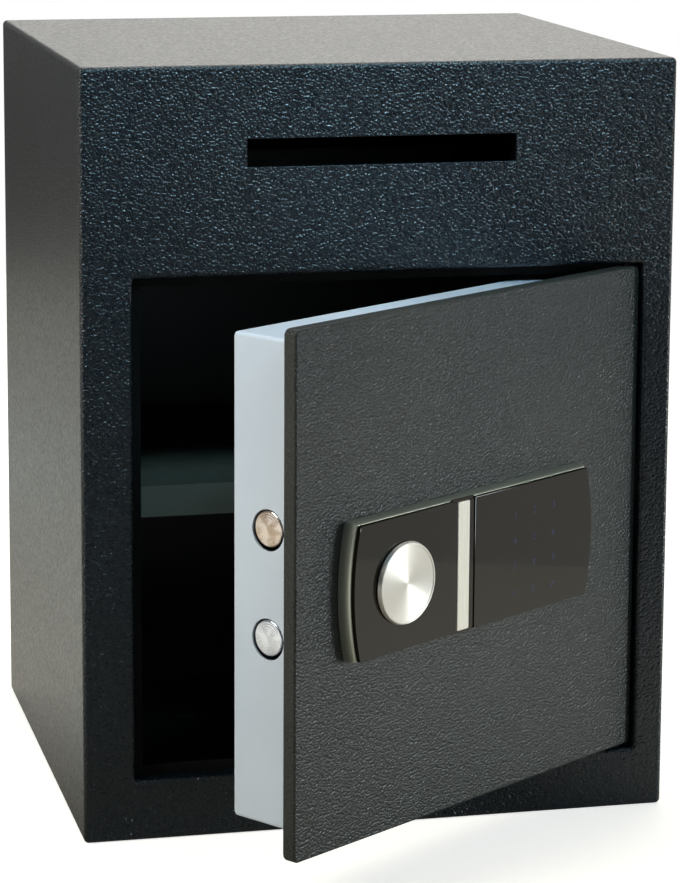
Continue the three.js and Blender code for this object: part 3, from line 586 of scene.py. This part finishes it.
def rounded(x0, x1, z0, z1, radius, steps=CORNER_STEPS):
    """A rectangle with round corners."""
    quarter = math.pi / 2
    left, right = x0 + radius, x1 - radius
    bottom, top = z0 + radius, z1 - radius
    corners = ((right, bottom), (right, top), (left, top), (left, bottom))
    return [point for index, centre in enumerate(corners)
            for point in arc(centre, radius, (index - 1) * quarter, index * quarter, steps)]


def inset_box(low, high, inset, radius):
    """A box's front outline, drawn in."""
    return rounded(low.x + inset, high.x - inset, low.z + inset, high.z - inset, radius)


def circle(x, z, radius, sides=HOLE_SIDES):
    return arc((x, z), radius, 0, 2 * math.pi * (1 - 1 / sides), sides - 1)


def ring(bm, outline, y):
    return [bm.verts.new((x, y, z)) for x, z in outline]


def skin(bm, first, second, skip=()):
    """Joins two rings by a band of faces."""
    count = len(first)
    for index in range(count):
        if index not in skip:
            after = (index + 1) % count
            bm.faces.new((first[index], first[after], second[after], second[index]))


def skins(bm, rings):
    for first, second in zip(rings, rings[1:]):
        skin(bm, first, second)


def fill(bm, *loops):
    """A flat face bounded by the first loop, with the others as holes."""
    edges = []
    for loop in loops:
        for index, vert in enumerate(loop):
            after = loop[(index + 1) % len(loop)]
            edges.append(bm.edges.get((vert, after)) or bm.edges.new((vert, after)))
    bmesh.ops.triangle_fill(bm, edges=edges, use_beauty=True, use_dissolve=False)


def quarter_turn(radius, steps=5):
    """How far in and how far up a rounded edge has come at each of its steps."""
    for step in range(1, steps + 1):
        angle = math.pi / 2 * step / steps
        yield radius * (1 - math.cos(angle)), radius * math.sin(angle)


def rolled(bm, outline, y, radius, steps=5, way=-1):
    """Rings from y round an outer edge: to the front, or with way=1 to the back."""
    rings = [ring(bm, outline(0), y)]
    for inset, rise in quarter_turn(radius, steps):
        rings.append(ring(bm, outline(inset), y + way * rise))
    return rings


def folded(bm, outline, y, radius, steps):
    """Rings from y round the edge of an opening, to the back."""
    rings = [ring(bm, outline(radius), y)]
    for inset, rise in quarter_turn(radius, steps):
        rings.append(ring(bm, outline(radius - rise), y + inset))
    return rings


def slab(bm, outline, y0, y1, edge, back_edge=0.0):
    """A plate from y0, its front, to y1. outline(inset) gives the points; the edges are rounded."""
    front = rolled(bm, outline, y0 + edge, edge)
    if back_edge:
        back = rolled(bm, outline, y1 - back_edge, back_edge, way=1)
    else:
        back = [ring(bm, outline(0), y1)]
    skins(bm, front)
    skins(bm, back)
    skin(bm, front[0], back[0])
    fill(bm, front[-1])
    fill(bm, back[-1])


def lathe(bm, points, sides=FINE_SIDES):
    """Turns (radius, height) points round Z; a point at radius 0 closes the end."""
    turns = [2 * math.pi * side / sides for side in range(sides)]
    rings = []
    for radius, height in points:
        if radius == 0:
            rings.append([bm.verts.new((0, 0, height))])
        else:
            around = [(radius * math.cos(a), radius * math.sin(a)) for a in turns]
            rings.append([bm.verts.new((x, y, height)) for x, y in around])
    for first, second in zip(rings, rings[1:]):
        if len(first) > 1 and len(second) > 1:
            skin(bm, first, second)
        elif len(first) > 1 or len(second) > 1:
            tip, around = (first[0], second) if len(first) == 1 else (second[0], first)
            for index, vert in enumerate(around):
                bm.faces.new((tip, vert, around[(index + 1) % len(around)]))


def door_box(node):
    """Lowest and highest corner of a node in the door's own axes."""
    turn = DOOR.inverted()
    points = [turn @ vert.co for vert in NODES[node].data.vertices]
    low = Vector([min(point[axis] for point in points) for axis in range(3)])
    high = Vector([max(point[axis] for point in points) for axis in range(3)])
    return low, high


def middle(node):
    """The middle of a node in the door's own axes."""
    low, high = door_box(node)
    return [(first + second) / 2 for first, second in zip(low, high)]


def add_object(name, data):
    thing = bpy.data.objects.new(name, data)
    bpy.context.scene.collection.objects.link(thing)
    return thing


def piece(name, bm, slot, body, nodes, place=DOOR, material=None, sharp=SHARP_FROM, bevel=0.0, shell=0.0):
    """Puts a finished mesh into the scene as a piece that stands for CAD nodes."""
    bmesh.ops.recalc_face_normals(bm, faces=bm.faces)
    mesh = bpy.data.meshes.new(name)
    bm.to_mesh(mesh)
    bm.free()
    for polygon in mesh.polygons:
        polygon.use_smooth = True
    mesh.set_sharp_from_angle(angle=math.radians(sharp))
    mesh.materials.append(material or FINISH[slot])
    thing = add_object(name, mesh)
    thing.matrix_world = place
    if shell:
        solid = thing.modifiers.new("sheet", "SOLIDIFY")
        solid.thickness = shell
        solid.offset = -1
    if bevel:
        soften(thing, bevel)
    weigh(thing)
    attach(thing, body)
    if nodes:
        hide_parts(*nodes)


def soften(thing, width):
    bevel = thing.modifiers.new("edges", "BEVEL")
    bevel.width = width
    bevel.segments = 2
    bevel.limit_method = "ANGLE"
    bevel.angle_limit = math.radians(BEVEL_FROM)
    bevel.miter_outer = "MITER_ARC"


def weigh(thing):
    normals = thing.modifiers.new("normals", "WEIGHTED_NORMAL")
    normals.keep_sharp = True


def dress(node, slot, bevel, material):
    """Gives a CAD node its finish, and softens its edges."""
    thing = NODES[node]
    thing.data.materials.clear()
    thing.data.materials.append(material or FINISH[slot])
    for polygon in thing.data.polygons:
        polygon.use_smooth = True
    weld = thing.modifiers.new("weld", "WELD")
    weld.merge_threshold = WELD_WITHIN
    if bevel:
        soften(thing, bevel)
    split = thing.modifiers.new("split", "EDGE_SPLIT")
    split.split_angle = math.radians(SHARP_FROM)
    weigh(thing)


def plain_pieces():
    for node in NODES:
        for slot, edge, material, starts in PLAIN:
            if node.startswith(starts):
                dress(node, slot, edge, material)
                break


# Front panel

def rolled_edge(bm, low, high):
    """Rings round the panel's rolled outer edge, from the back."""
    def outside(inset):
        return inset_box(low, high, inset, CABINET_CORNER - inset)

    back = ring(bm, outside(0), low.y + SHEET)
    return [back] + rolled(bm, outside, low.y + OUTER_EDGE, OUTER_EDGE, EDGE_STEPS)


def folded_doorway(bm, low, high):
    """Rings round the doorway's fold, along its return and out again."""
    plate_low, plate_high = door_box("door_plate")
    left = PIVOT.x + plate_low.x - DOOR_GAP
    right = PIVOT.x + plate_high.x + DOOR_GAP
    bottom = plate_low.z - DOOR_GAP
    top = plate_high.z + DOOR_GAP

    def doorway(grow):
        return rounded(left - grow, right + grow, bottom - grow, top + grow, OPENING_CORNER + grow)

    rings = folded(bm, doorway, low.y, FOLD_RADIUS, FOLD_STEPS)
    for grow, y in ((0, high.y), (SHEET, high.y), (SHEET, low.y + SHEET)):
        rings.append(ring(bm, doorway(grow), y))
    return rings


def letter_slot(bm, front):
    """Rings from the panel's front through the slot to its back."""
    openings = frame["record"]["physics"]["openings"]
    box = next(opening["box_m"] for opening in openings if opening["name"] == "deposit_slot")
    height = sum(corner[2] for corner in box) / 2

    def slot(grow):
        half_width = SLOT_WIDTH / 2 + grow
        half_height = SLOT_HEIGHT / 2 + grow
        return rounded(-half_width, half_width, height - half_height, height + half_height,
                       SLOT_EDGE + grow, SLOT_STEPS)

    return folded(bm, slot, front, SLOT_EDGE, SLOT_STEPS) + [ring(bm, slot(0), front + SHEET)]


def front_panel():
    """The front: outer edges rolled over, the letter slot, and the doorway folded back inside."""
    low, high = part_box("front_frame")
    bm = bmesh.new()
    outer = rolled_edge(bm, low, high)
    inner = folded_doorway(bm, low, high)
    cut = letter_slot(bm, low.y)
    for rings in (outer, inner, cut):
        skins(bm, rings)
    fill(bm, outer[-1], inner[0], cut[0])
    fill(bm, outer[0], inner[-1], cut[-1])
    piece("front_panel", bm, "cabinet_paint", "cabinet", ["front_frame"], Matrix.Identity(4), FRONT_PAINT)


# Door

def door_plate():
    low, high = door_box("door_plate")

    def outline(inset):
        return inset_box(low, high, inset, PLATE_CORNER - inset)

    bm = bmesh.new()
    slab(bm, outline, low.y, high.y, PLATE_EDGE, back_edge=PLATE_EDGE)
    piece("door_face_plate", bm, "door_paint", "door", ["door_plate"])


def bolt_holes(bm, x):
    """Rings in the housing's side, a little low round the bolts."""
    y = middle("bolt_lower")[1]
    holes = []
    for node in ("bolt_lower", "bolt_upper"):
        points = circle(y, middle(node)[2] - BOLT_HOLE_DROP, BOLT_HOLE_RADIUS)
        holes.append([bm.verts.new((x, depth, height)) for depth, height in points])
    return holes


def back_cuts(bm, y):
    """Rings in the housing's back: the battery window and the screw holes."""
    low, high = door_box("battery_tray")
    cuts = [ring(bm, inset_box(low, high, BATTERY_WINDOW_INSET, BATTERY_WINDOW_CORNER), y)]
    for node in NODES:
        if node.startswith("housing_screw"):
            x, _, z = middle(node)
            cuts.append(ring(bm, circle(x, z, SCREW_HOLE_RADIUS, SCREW_SIDES), y))
    return cuts


def housing():
    """The folded box over the boltwork: rounded folds, two bolt holes, a battery window."""
    low, high = door_box("boltwork_housing")
    front = door_box("door_plate")[1].y + SEAT_GAP

    def outline(inset):
        return inset_box(low, high, inset, HOUSING_CORNER)

    bm = bmesh.new()
    rings = [ring(bm, outline(0), front)]
    rings += rolled(bm, outline, high.y - HOUSING_FOLD, HOUSING_FOLD, EDGE_STEPS, way=1)
    left_side = 3 * (CORNER_STEPS + 1) - 1
    skin(bm, rings[0], rings[1], skip=(left_side,))
    skins(bm, rings[1:])
    a, b = rings[0][left_side:left_side + 2]
    d, c = rings[1][left_side:left_side + 2]
    fill(bm, [a, b, c, d], *bolt_holes(bm, low.x))
    fill(bm, rings[-1], *back_cuts(bm, high.y))
    piece("boltwork_cover", bm, "housing_paint", "door", ["boltwork_housing"],
          shell=HOUSING_SHEET, bevel=HOUSING_EDGE)


def bolt(node, material):
    """A round bolt: a chamfered, slightly domed end, a body, and a riveted tail."""
    low, high = door_box(node)
    _, axis_y, axis_z = middle(node)
    radius = (high.z - low.z) / 2
    length = high.x - low.x
    flat = radius - BOLT_CHAMFER
    dome = [flat * step / DOME_STEPS for step in range(DOME_STEPS + 1)]
    points = [(r, BOLT_DOME * (r / flat) ** 2 - BOLT_DOME / 2) for r in dome]
    edge_height = points[-1][1]
    for inset, rise in quarter_turn(BOLT_CHAMFER, EDGE_STEPS):
        points.append((flat + rise, edge_height + inset))
    body_end = length - BOLT_TAIL
    rivet_front = length - RIVET_LENGTH
    points += [(radius, body_end - BODY_EDGE), (radius - BODY_EDGE, body_end), (RIVET_NECK, body_end),
               (RIVET_NECK, rivet_front), (RIVET_RADIUS, rivet_front), (RIVET_RADIUS, length - RIVET_EDGE),
               (RIVET_RADIUS - RIVET_EDGE, length), (0, length)]
    bm = bmesh.new()
    lathe(bm, points)
    towards_hinge = Matrix.Rotation(math.pi / 2, 4, "Y")
    place = DOOR @ Matrix.Translation((low.x, axis_y, axis_z)) @ towards_hinge
    piece(node + "_bar", bm, "nickel", "boltwork", [node], place, material, sharp=ROUND_SHARP_FROM)


def cross_recess(bm, reach, depth):
    """The edge of a cross-shaped driver recess at height 0, with its walls and its floor."""
    arm = reach * RECESS_ARM
    corner = [(reach, -arm), (reach, arm), (arm, arm)]
    points = []
    for _ in range(4):
        points += corner
        corner = [(-y, x) for x, y in corner]
    top = [bm.verts.new((x, y, 0)) for x, y in points]
    bottom = [bm.verts.new((x * RECESS_TAPER, y * RECESS_TAPER, -depth)) for x, y in points]
    skin(bm, top, bottom)
    fill(bm, bottom)
    return top


def screw(node):
    """A low domed screw head with a cross recess, its flat side on the housing."""
    low, high = door_box(node)
    x, _, z = middle(node)
    head = (high.x - low.x) / 2
    rise = LOCK_SCREW_RISE if node.startswith("lock") else HOUSING_SCREW_RISE
    flat = head * HEAD_FLAT
    shoulder = rise * HEAD_SHOULDER
    points = [(SCREW_SHANK, low.y - high.y), (SCREW_SHANK, -rise), (head, -rise), (head, -shoulder)]
    for inset, up in quarter_turn(1):
        points.append((flat + (head - flat) * (1 - inset), -shoulder + shoulder * up))
    bm = bmesh.new()
    lathe(bm, points, SCREW_SIDES)
    bm.verts.ensure_lookup_table()
    rim = bm.verts[-SCREW_SIDES:]
    fill(bm, rim, cross_recess(bm, head * RECESS_REACH, rise * RECESS_DEPTH))
    fill(bm, bm.verts[:SCREW_SIDES])
    place = DOOR @ Matrix.Translation((x, high.y, z)) @ Matrix.Rotation(-math.pi / 2, 4, "X")
    piece(node + "_head", bm, "zinc", "door", [node], place)


def battery_cover():
    """The cover clipped into the housing: a plate with rounded edges, a grip bar and ribs."""
    low, high = door_box("battery_cover")
    seat = door_box("boltwork_housing")[1].y + SEAT_GAP
    back = seat + COVER_SHEET
    bm = bmesh.new()

    def cover(inset):
        return inset_box(low, high, inset, COVER_CORNER - inset)

    def plug(inset):
        return inset_box(low, high, COVER_LAP, COVER_CORNER / 2 - inset)

    slab(bm, cover, seat, back, PLAIN_EDGE, back_edge=COVER_EDGE)
    slab(bm, plug, low.y, seat, PLAIN_EDGE)
    x = (low.x + high.x) / 2
    for index in range(RIBS):
        z = high.z - GRIP_BELOW_TOP - index * RIB_PITCH
        half = GRIP_HALF_WIDTH * (1 - RIB_SHORTER * index)

        def bar(inset):
            return rounded(x - half + inset, x + half - inset, z - RIB_HALF_HEIGHT + inset,
                           z + RIB_HALF_HEIGHT - inset, RIB_CORNER - inset)

        top = high.y if index == 0 else back + RIB_RISE
        slab(bm, bar, seat + COVER_SHEET / 2, top, PLAIN_EDGE, back_edge=RIB_EDGE)
    piece("battery_hatch", bm, "black_plastic", "battery_cover", ["battery_cover"])


# Lock

def bow(x, z0, z1, rise, steps=20):
    """A shallow arc from (x, z0) to (x, z1) that stands out by rise, to the right if rise > 0."""
    half = abs(z1 - z0) / 2
    height = abs(rise)
    radius = (half * half + height * height) / (2 * height)
    spread = math.asin(half / radius)
    facing = 0 if rise > 0 else math.pi
    centre = (x + rise - math.copysign(radius, rise), (z0 + z1) / 2)
    return arc(centre, radius, facing - spread, facing + spread, steps)


class Lock:
    """The places that the lock's pieces share, in the door's axes."""

    def __init__(self):
        self.low, self.high = door_box("lock_housing")
        self.middle = (self.low.z + self.high.z) / 2
        self.strip = door_box("accent_strip")
        self.left_face = door_box("lock_face_left")
        self.right_face = door_box("keypad_lens")
        self.knob = door_box("knob")
        self.knob_x = middle("knob")[0]

    def outline(self, inset):
        left = self.low.x + inset + LOCK_BOW
        right = self.high.x - inset - LOCK_BOW
        bottom = self.low.z + inset
        top = self.high.z - inset
        return bow(right, bottom, top, LOCK_BOW) + bow(left, top, bottom, -LOCK_BOW)

    def left_outline(self, inset, edge_inset):
        low, high = self.left_face
        edge = high.x - edge_inset
        bowed = bow(low.x + inset + LOCK_BOW, high.z - inset, low.z + inset, -LOCK_BOW)
        return [(edge, low.z + inset), (edge, high.z - inset)] + bowed

    def right_outline(self, inset, edge_inset):
        low, high = self.right_face
        edge = low.x + edge_inset
        bowed = bow(high.x - inset - LOCK_BOW, low.z + inset, high.z - inset, LOCK_BOW)
        return bowed + [(edge, high.z - inset), (edge, low.z + inset)]

    def well(self):
        """The round hole in the left face that takes the knob's neck."""
        return circle(self.knob_x, self.middle, KNOB_NECK + KNOB_CLEARANCE)


def lock_body(lock):
    """The satin bezel: bowed ends, a rounded front edge, and the pocket that takes the faces."""
    bm = bmesh.new()
    front = lock.low.y
    back = lock.high.y
    outer = [ring(bm, lock.outline(0), back), ring(bm, lock.outline(0), front + LOCK_EDGE_DEPTH)]
    for inset, rise in quarter_turn(1, LOCK_EDGE_STEPS):
        outer.append(ring(bm, lock.outline(inset * LOCK_EDGE), front + LOCK_EDGE_DEPTH * (1 - rise)))
    outer.append(ring(bm, lock.outline(LOCK_RIM), front + LOCK_RIM_DROP))
    pocket = front + LOCK_POCKET
    outer.append(ring(bm, lock.outline(LOCK_RIM), pocket))
    hole = circle(lock.knob_x, lock.middle, SPINDLE_HOLE, SCREW_SIDES)
    cut = [ring(bm, lock.well(), pocket), ring(bm, lock.well(), pocket + LOCK_WELL)]
    bore = [ring(bm, hole, pocket + LOCK_WELL), ring(bm, hole, back)]
    for rings in (outer, cut, bore):
        skins(bm, rings)
    fill(bm, outer[-1], cut[0])
    fill(bm, cut[-1], bore[0])
    fill(bm, outer[0], bore[-1])
    piece("lock_bezel", bm, "silver_trim", "door", ["lock_housing"], sharp=ROUND_SHARP_FROM)


def lens(bm, lock, outline, face, hole=None):
    """A smoked face: a rounded flange over the bezel's front, and a plug down into its pocket."""
    low, high = face
    flange_back = lock.low.y - LENS_GAP
    flange_front = low.y + LENS_EDGE
    rings = [ring(bm, outline(LOCK_RIM, 0), high.y), ring(bm, outline(LOCK_RIM, 0), flange_back),
             ring(bm, outline(LENS_INSET, 0), flange_back), ring(bm, outline(LENS_INSET, 0), flange_front)]
    for inset, rise in quarter_turn(LENS_EDGE):
        rings.append(ring(bm, outline(LENS_INSET + inset, inset), flange_front - rise))
    skins(bm, rings)
    if hole is None:
        fill(bm, rings[0])
        fill(bm, rings[-1])
    else:
        back = ring(bm, hole, high.y)
        front = ring(bm, hole, low.y)
        skin(bm, back, front)
        fill(bm, rings[0], back)
        fill(bm, rings[-1], front)


def block(bm, low, high):
    """A plain block, for the dark blocks that fill a gap as painted shade."""
    corners = ((low[0], low[2]), (high[0], low[2]), (high[0], high[2]), (low[0], high[2]))
    near = ring(bm, corners, low[1])
    far = ring(bm, corners, high[1])
    skin(bm, near, far)
    bm.faces.new(near)
    bm.faces.new(far)


def channel_shade_blocks(bm, lock):
    """Dark blocks at the channel's ends and floor, painted shade, so that no bright bezel shows beside the strip.
    """
    left = lock.left_face[1].x
    right = lock.right_face[0].x
    low, high = lock.strip
    gap = SHADE_BLOCK_GAP
    front = lock.low.y - SHADE_BLOCK_RISE
    back = lock.low.y - gap
    block(bm, (left, front, high.z + gap), (right, back, lock.left_face[1].z))
    block(bm, (left, front, lock.left_face[0].z), (right, back, low.z - gap))
    bottom = high.y - gap
    top = lock.left_face[0].y + SHADE_BLOCK_DROP
    block(bm, (left + 4 * gap, top, low.z), (low.x - 4 * gap, bottom, high.z))
    block(bm, (high.x + 4 * gap, top, low.z), (right - 4 * gap, bottom, high.z))


def lock_faces(lock):
    """The two smoked faces, and the strip that stands in the channel between them."""
    bm = bmesh.new()
    lens(bm, lock, lock.left_outline, lock.left_face, lock.well())
    channel_shade_blocks(bm, lock)
    piece("lock_lens_left", bm, "gloss_black", "door", ["lock_face_left"])
    bm = bmesh.new()
    lens(bm, lock, lock.right_outline, lock.right_face)
    piece("lock_lens_right", bm, "gloss_black", "door", ["keypad_lens"])
    low, high = lock.strip

    def strip(inset):
        return inset_box(low, high, inset, 2 * STRIP_EDGE - inset)

    bm = bmesh.new()
    slab(bm, strip, low.y, high.y, STRIP_EDGE)
    piece("lock_strip", bm, "silver_trim", "door", ["accent_strip"], material=PEARL)


def mark_shape(mark):
    """The mesh of one touch mark, flat in XY."""
    curve = bpy.data.curves.new("mark", "FONT")
    curve.body = mark
    curve.size = DIGIT_HEIGHT / DIGIT_SHARE
    curve.extrude = DIGIT_DEPTH
    curve.resolution_u = 4
    curve.align_x = "CENTER"
    curve.align_y = "CENTER"
    letter = add_object("mark", curve)
    bpy.context.view_layer.update()
    seen = letter.evaluated_get(bpy.context.evaluated_depsgraph_get())
    shape = bpy.data.meshes.new_from_object(seen)
    bpy.data.objects.remove(letter)
    bpy.data.curves.remove(curve)
    return shape


def keypad_digits(lock):
    """Twelve touch marks, as thin raised print on the right-hand face."""
    low = lock.right_face[0]
    first_row = lock.middle + DIGIT_ROW_PITCH * (len(DIGIT_ROWS) - 1) / 2 - DIGIT_DROP
    bm = bmesh.new()
    for row, marks in enumerate(DIGIT_ROWS):
        for column, mark in enumerate(marks):
            shape = mark_shape(mark)
            x = low.x + DIGIT_FIRST_COLUMN + column * DIGIT_COLUMN_PITCH
            z = first_row - row * DIGIT_ROW_PITCH
            shape.transform(Matrix.Translation((x, low.y - DIGIT_DEPTH, z)) @ FORWARD)
            bm.from_mesh(shape)
            bpy.data.meshes.remove(shape)
    piece("keypad_digits", bm, "gloss_black", "door", [], material=DIGIT_INK)


def knob_profile(radius, back, skirt, front):
    """Neck in its well, slightly tapered side, raised rim and a faintly dished face."""
    side = radius - KNOB_EDGE
    points = [(SPINDLE_HOLE, back), (KNOB_NECK, back), (KNOB_NECK, skirt), (side, skirt)]
    for inset, rise in quarter_turn(KNOB_EDGE):
        points.append((side + rise, skirt + inset))
    side_top = radius - KNOB_TAPER
    rim_start = front - KNOB_EDGE
    points.append((side_top, rim_start))
    for inset, rise in quarter_turn(KNOB_EDGE, EDGE_STEPS):
        points.append((side_top - inset, rim_start + rise))
    inner = radius - KNOB_RIM
    face = front - KNOB_GROOVE
    points += [(inner + KNOB_GROOVE, front), (inner + KNOB_GROOVE / 2, face), (inner, face)]
    for step in range(1, DISH_STEPS + 1):
        share = 1 - step / DISH_STEPS
        points.append((inner * share, face - KNOB_DISH * (1 - share * share)))
    return points


def knob(lock):
    """A turned cap, hollow where it takes the spindle."""
    low, high = lock.knob
    skirt = LENS_GAP - lock.left_face[0].y
    front = -low.y
    bm = bmesh.new()
    lathe(bm, knob_profile((high.x - low.x) / 2, -high.y, skirt, front))
    hole = list(bm.verts)[:FINE_SIDES]
    end = [bm.verts.new((vert.co.x, vert.co.y, front - KNOB_FACE)) for vert in hole]
    skin(bm, hole, end)
    fill(bm, end)
    place = DOOR @ Matrix.Translation((lock.knob_x, 0, lock.middle)) @ FORWARD
    piece("turning_knob", bm, "spun_aluminium", "knob", ["knob"], place)


def door():
    door_plate()
    housing()
    lock = Lock()
    lock_body(lock)
    lock_faces(lock)
    keypad_digits(lock)
    knob(lock)
    battery_cover()
    bolt("bolt_lower", FINISH["nickel"])
    bolt("bolt_upper", WORN_NICKEL_PAINTED_REFLECTION)
    for node in NODES:
        if node.startswith(("housing_screw", "lock_screw")):
            screw(node)


# Stage, lamps and camera

WHITE = (1, 1, 1, 1)

# Floor: its extent, how far below the object it lies, its tones
FLOOR_X = (-1.6, 0.74)
FLOOR_Y = (-0.5, 1.9)
FLOOR_DROP = 0.2 * MM
FLOOR_TONE = (0.8, 0.78, 0.69, 1)
FLOOR_IN_FRONT = (0.42, 0.41, 0.36, 1)
FLOOR_GLOW = 0.68
MIRRORED_GLOW = 0.16
# Mirrored rays see it bright beyond these: axis, start, full
FLOOR_BRIGHT_FROM = (("X", 0.05, 0.25), ("X", -0.25, -0.5), ("Y", -0.15, 0.1))

# World: brightness along Y or X, as (direction, brightness) pairs
STUDIO_TINT = (1, 0.985, 0.94)
ABOVE_BY_DEPTH = ((-1, 0.01), (-0.5, 0.015), (-0.15, 0.3), (0.25, 0.7), (0.6, 1))
ABOVE_BY_WIDTH = ((-0.5, 0.1), (-0.1, 0.15), (0.12, 0.87), (0.3, 0.98))
BELOW_BY_WIDTH = ((-0.75, 1), (-0.5, 0.5), (-0.35, 0.06), (0.1, 0.06), (0.7, 0.5), (1, 0.55))
HORIZON = (-0.04, 0.04)
BACKDROP_FROM = 0.995

# Lamps: place, what it aims at, size, power, tint, spread in degrees
MIDDLE = (0, -0.1, 0.25)
FRONT_TOP = (0.02, -0.16, 0.63)
DOOR_FOOT = (0.02, -0.25, -0.02)
LAMPS = {
    "key": ((0.2, -1.05, 1.35), FRONT_TOP, 0.55, 1.06, (0.5, 0.82, 1), 30),
    "left_fill": ((-1.2, -0.65, 1.15), MIDDLE, 0.7, 14.4, (1, 0.975, 0.9), 180),
    "right_fill": ((1.72, -0.95, 0.25), DOOR_FOOT, 0.6, 1.02, (0.86, 0.95, 1), 34),
    "overhead": ((0, 0.5, 1.9), MIDDLE, 1.4, 12, (1, 1, 1), 180),
    "backdrop": ((0.6, 2.4, 0.75), MIDDLE, 1.5, 4, (1, 1, 1), 180),
}

# Picture: the size that the lens shift counts in, and the camera fitted to it
PICTURE_WIDTH = 680
PICTURE_HEIGHT = 883
SENSOR = 36
CAMERA_PLACE = Vector((-0.4469, -1.9494, 0.6273))
CAMERA_TURN = (79.918, -0.304, -13.19)
FOCAL_PIXELS = 3261
CENTRE_PIXEL = (338.5, 324)
CLIP_NEAR = 0.1
CLIP_FAR = 20


def ray_shares(nodes):
    """1 or 0 for rays from the camera, and for rays that a surface has mirrored or let through."""
    path = nodes.add("ShaderNodeLightPath").outputs
    return path["Is Camera Ray"], nodes.math("MAXIMUM", path["Is Glossy Ray"], path["Is Transmission Ray"])


def floor_material():
    """A white that glows a little to meet the background, and that mirrors dark in front."""
    material = bpy.data.materials.new("studio_floor")
    material.use_nodes = True
    nodes = Nodes(material.node_tree)
    nodes.tree.nodes.clear()
    from_camera, mirrored = ray_shares(nodes)
    where = nodes.parts(nodes.coordinates())
    area = 0
    for axis, start, end in FLOOR_BRIGHT_FROM:
        area = nodes.math("MAXIMUM", area, nodes.between(where[axis], start, end, smooth=False))
    behind = nodes.math("MULTIPLY", mirrored, area)
    in_front = nodes.math("SUBTRACT", mirrored, behind)
    matt = nodes.through("ShaderNodeBsdfDiffuse", nodes.mix(in_front, FLOOR_TONE, FLOOR_IN_FRONT))
    seen = nodes.math("MULTIPLY", from_camera, FLOOR_GLOW)
    strength = nodes.math("ADD", seen, nodes.math("MULTIPLY", behind, MIRRORED_GLOW))
    glow = nodes.through("ShaderNodeEmission", WHITE, strength)
    both = nodes.through("ShaderNodeAddShader", matt, glow)
    nodes.link(both, nodes.add("ShaderNodeOutputMaterial").inputs["Surface"])
    return material


def floor():
    (left, right), (near, far) = FLOOR_X, FLOOR_Y
    bm = bmesh.new()
    corners = ((left, near), (right, near), (right, far), (left, far))
    bm.faces.new([bm.verts.new((x, y, 0)) for x, y in corners])
    mesh = bpy.data.meshes.new("studio_floor")
    bm.to_mesh(mesh)
    bm.free()
    mesh.materials.append(floor_material())
    thing = add_object("studio_floor", mesh)
    thing.location.z = -FLOOR_DROP


def studio_ramp(nodes, source, stops):
    """The studio's brightness along one direction, from -1 to 1."""
    share = nodes.between(source, -1, 1, smooth=False)
    ramp = nodes.through("ShaderNodeValToRGB", share)
    elements = ramp.node.color_ramp.elements
    while len(elements) < len(stops):
        elements.new(0.5)
    for element, (direction, brightness) in zip(elements, stops):
        element.position = (direction + 1) / 2
        element.color = tuple(brightness * tint for tint in STUDIO_TINT) + (1,)
    return ramp


def surroundings():
    """White to the camera. What the object sees is a studio: white behind it, dark in front."""
    world = bpy.data.worlds.new("studio")
    bpy.context.scene.world = world
    world.use_nodes = True
    nodes = Nodes(world.node_tree)
    nodes.tree.nodes.clear()
    direction = nodes.parts(nodes.coordinates("Generated"))
    by_depth = studio_ramp(nodes, direction["Y"], ABOVE_BY_DEPTH)
    by_width = studio_ramp(nodes, direction["X"], ABOVE_BY_WIDTH)
    above = nodes.through("ShaderNodeVectorMath", by_depth, by_width)
    above.node.operation = "MULTIPLY"
    below = studio_ramp(nodes, direction["X"], BELOW_BY_WIDTH)
    height = nodes.between(direction["Z"], *HORIZON, smooth=False)
    studio_light = nodes.through("ShaderNodeBackground", nodes.mix(height, below, above))
    white = nodes.through("ShaderNodeBackground", WHITE)
    from_camera, mirrored = ray_shares(nodes)
    backwards = nodes.math("GREATER_THAN", direction["Y"], BACKDROP_FROM)
    sees_white = nodes.math("MAXIMUM", from_camera, nodes.math("MULTIPLY", mirrored, backwards))
    choice = nodes.through("ShaderNodeMixShader", sees_white, studio_light, white)
    nodes.link(choice, nodes.add("ShaderNodeOutputWorld").inputs["Surface"])


def lamp(name, place, aim, size, power, tint, spread):
    light = bpy.data.lights.new(name, "AREA")
    light.color = tint
    light.shape = "DISK"
    light.size = size
    light.energy = power
    light.spread = math.radians(spread)
    thing = add_object(name, light)
    thing.location = place
    thing.rotation_euler = (Vector(aim) - Vector(place)).to_track_quat("-Z", "Y").to_euler()
    thing.visible_camera = False


def studio():
    floor()
    surroundings()
    for name, settings in LAMPS.items():
        lamp(name, *settings)


def camera():
    data = bpy.data.cameras.new("camera")
    longest = max(PICTURE_WIDTH, PICTURE_HEIGHT)
    data.sensor_width = SENSOR
    data.lens = FOCAL_PIXELS / longest * SENSOR
    data.shift_x = (PICTURE_WIDTH / 2 - CENTRE_PIXEL[0]) / longest
    data.shift_y = (CENTRE_PIXEL[1] - PICTURE_HEIGHT / 2) / longest
    data.clip_start = CLIP_NEAR
    data.clip_end = CLIP_FAR
    thing = add_object("camera", data)
    thing.location = CAMERA_PLACE
    thing.rotation_euler = [math.radians(angle) for angle in CAMERA_TURN]
    bpy.context.scene.camera = thing


camera()
plain_pieces()
front_panel()
door()
studio()
bpy.context.scene.view_settings.view_transform = "Standard"

bpy.context.view_layer.update()
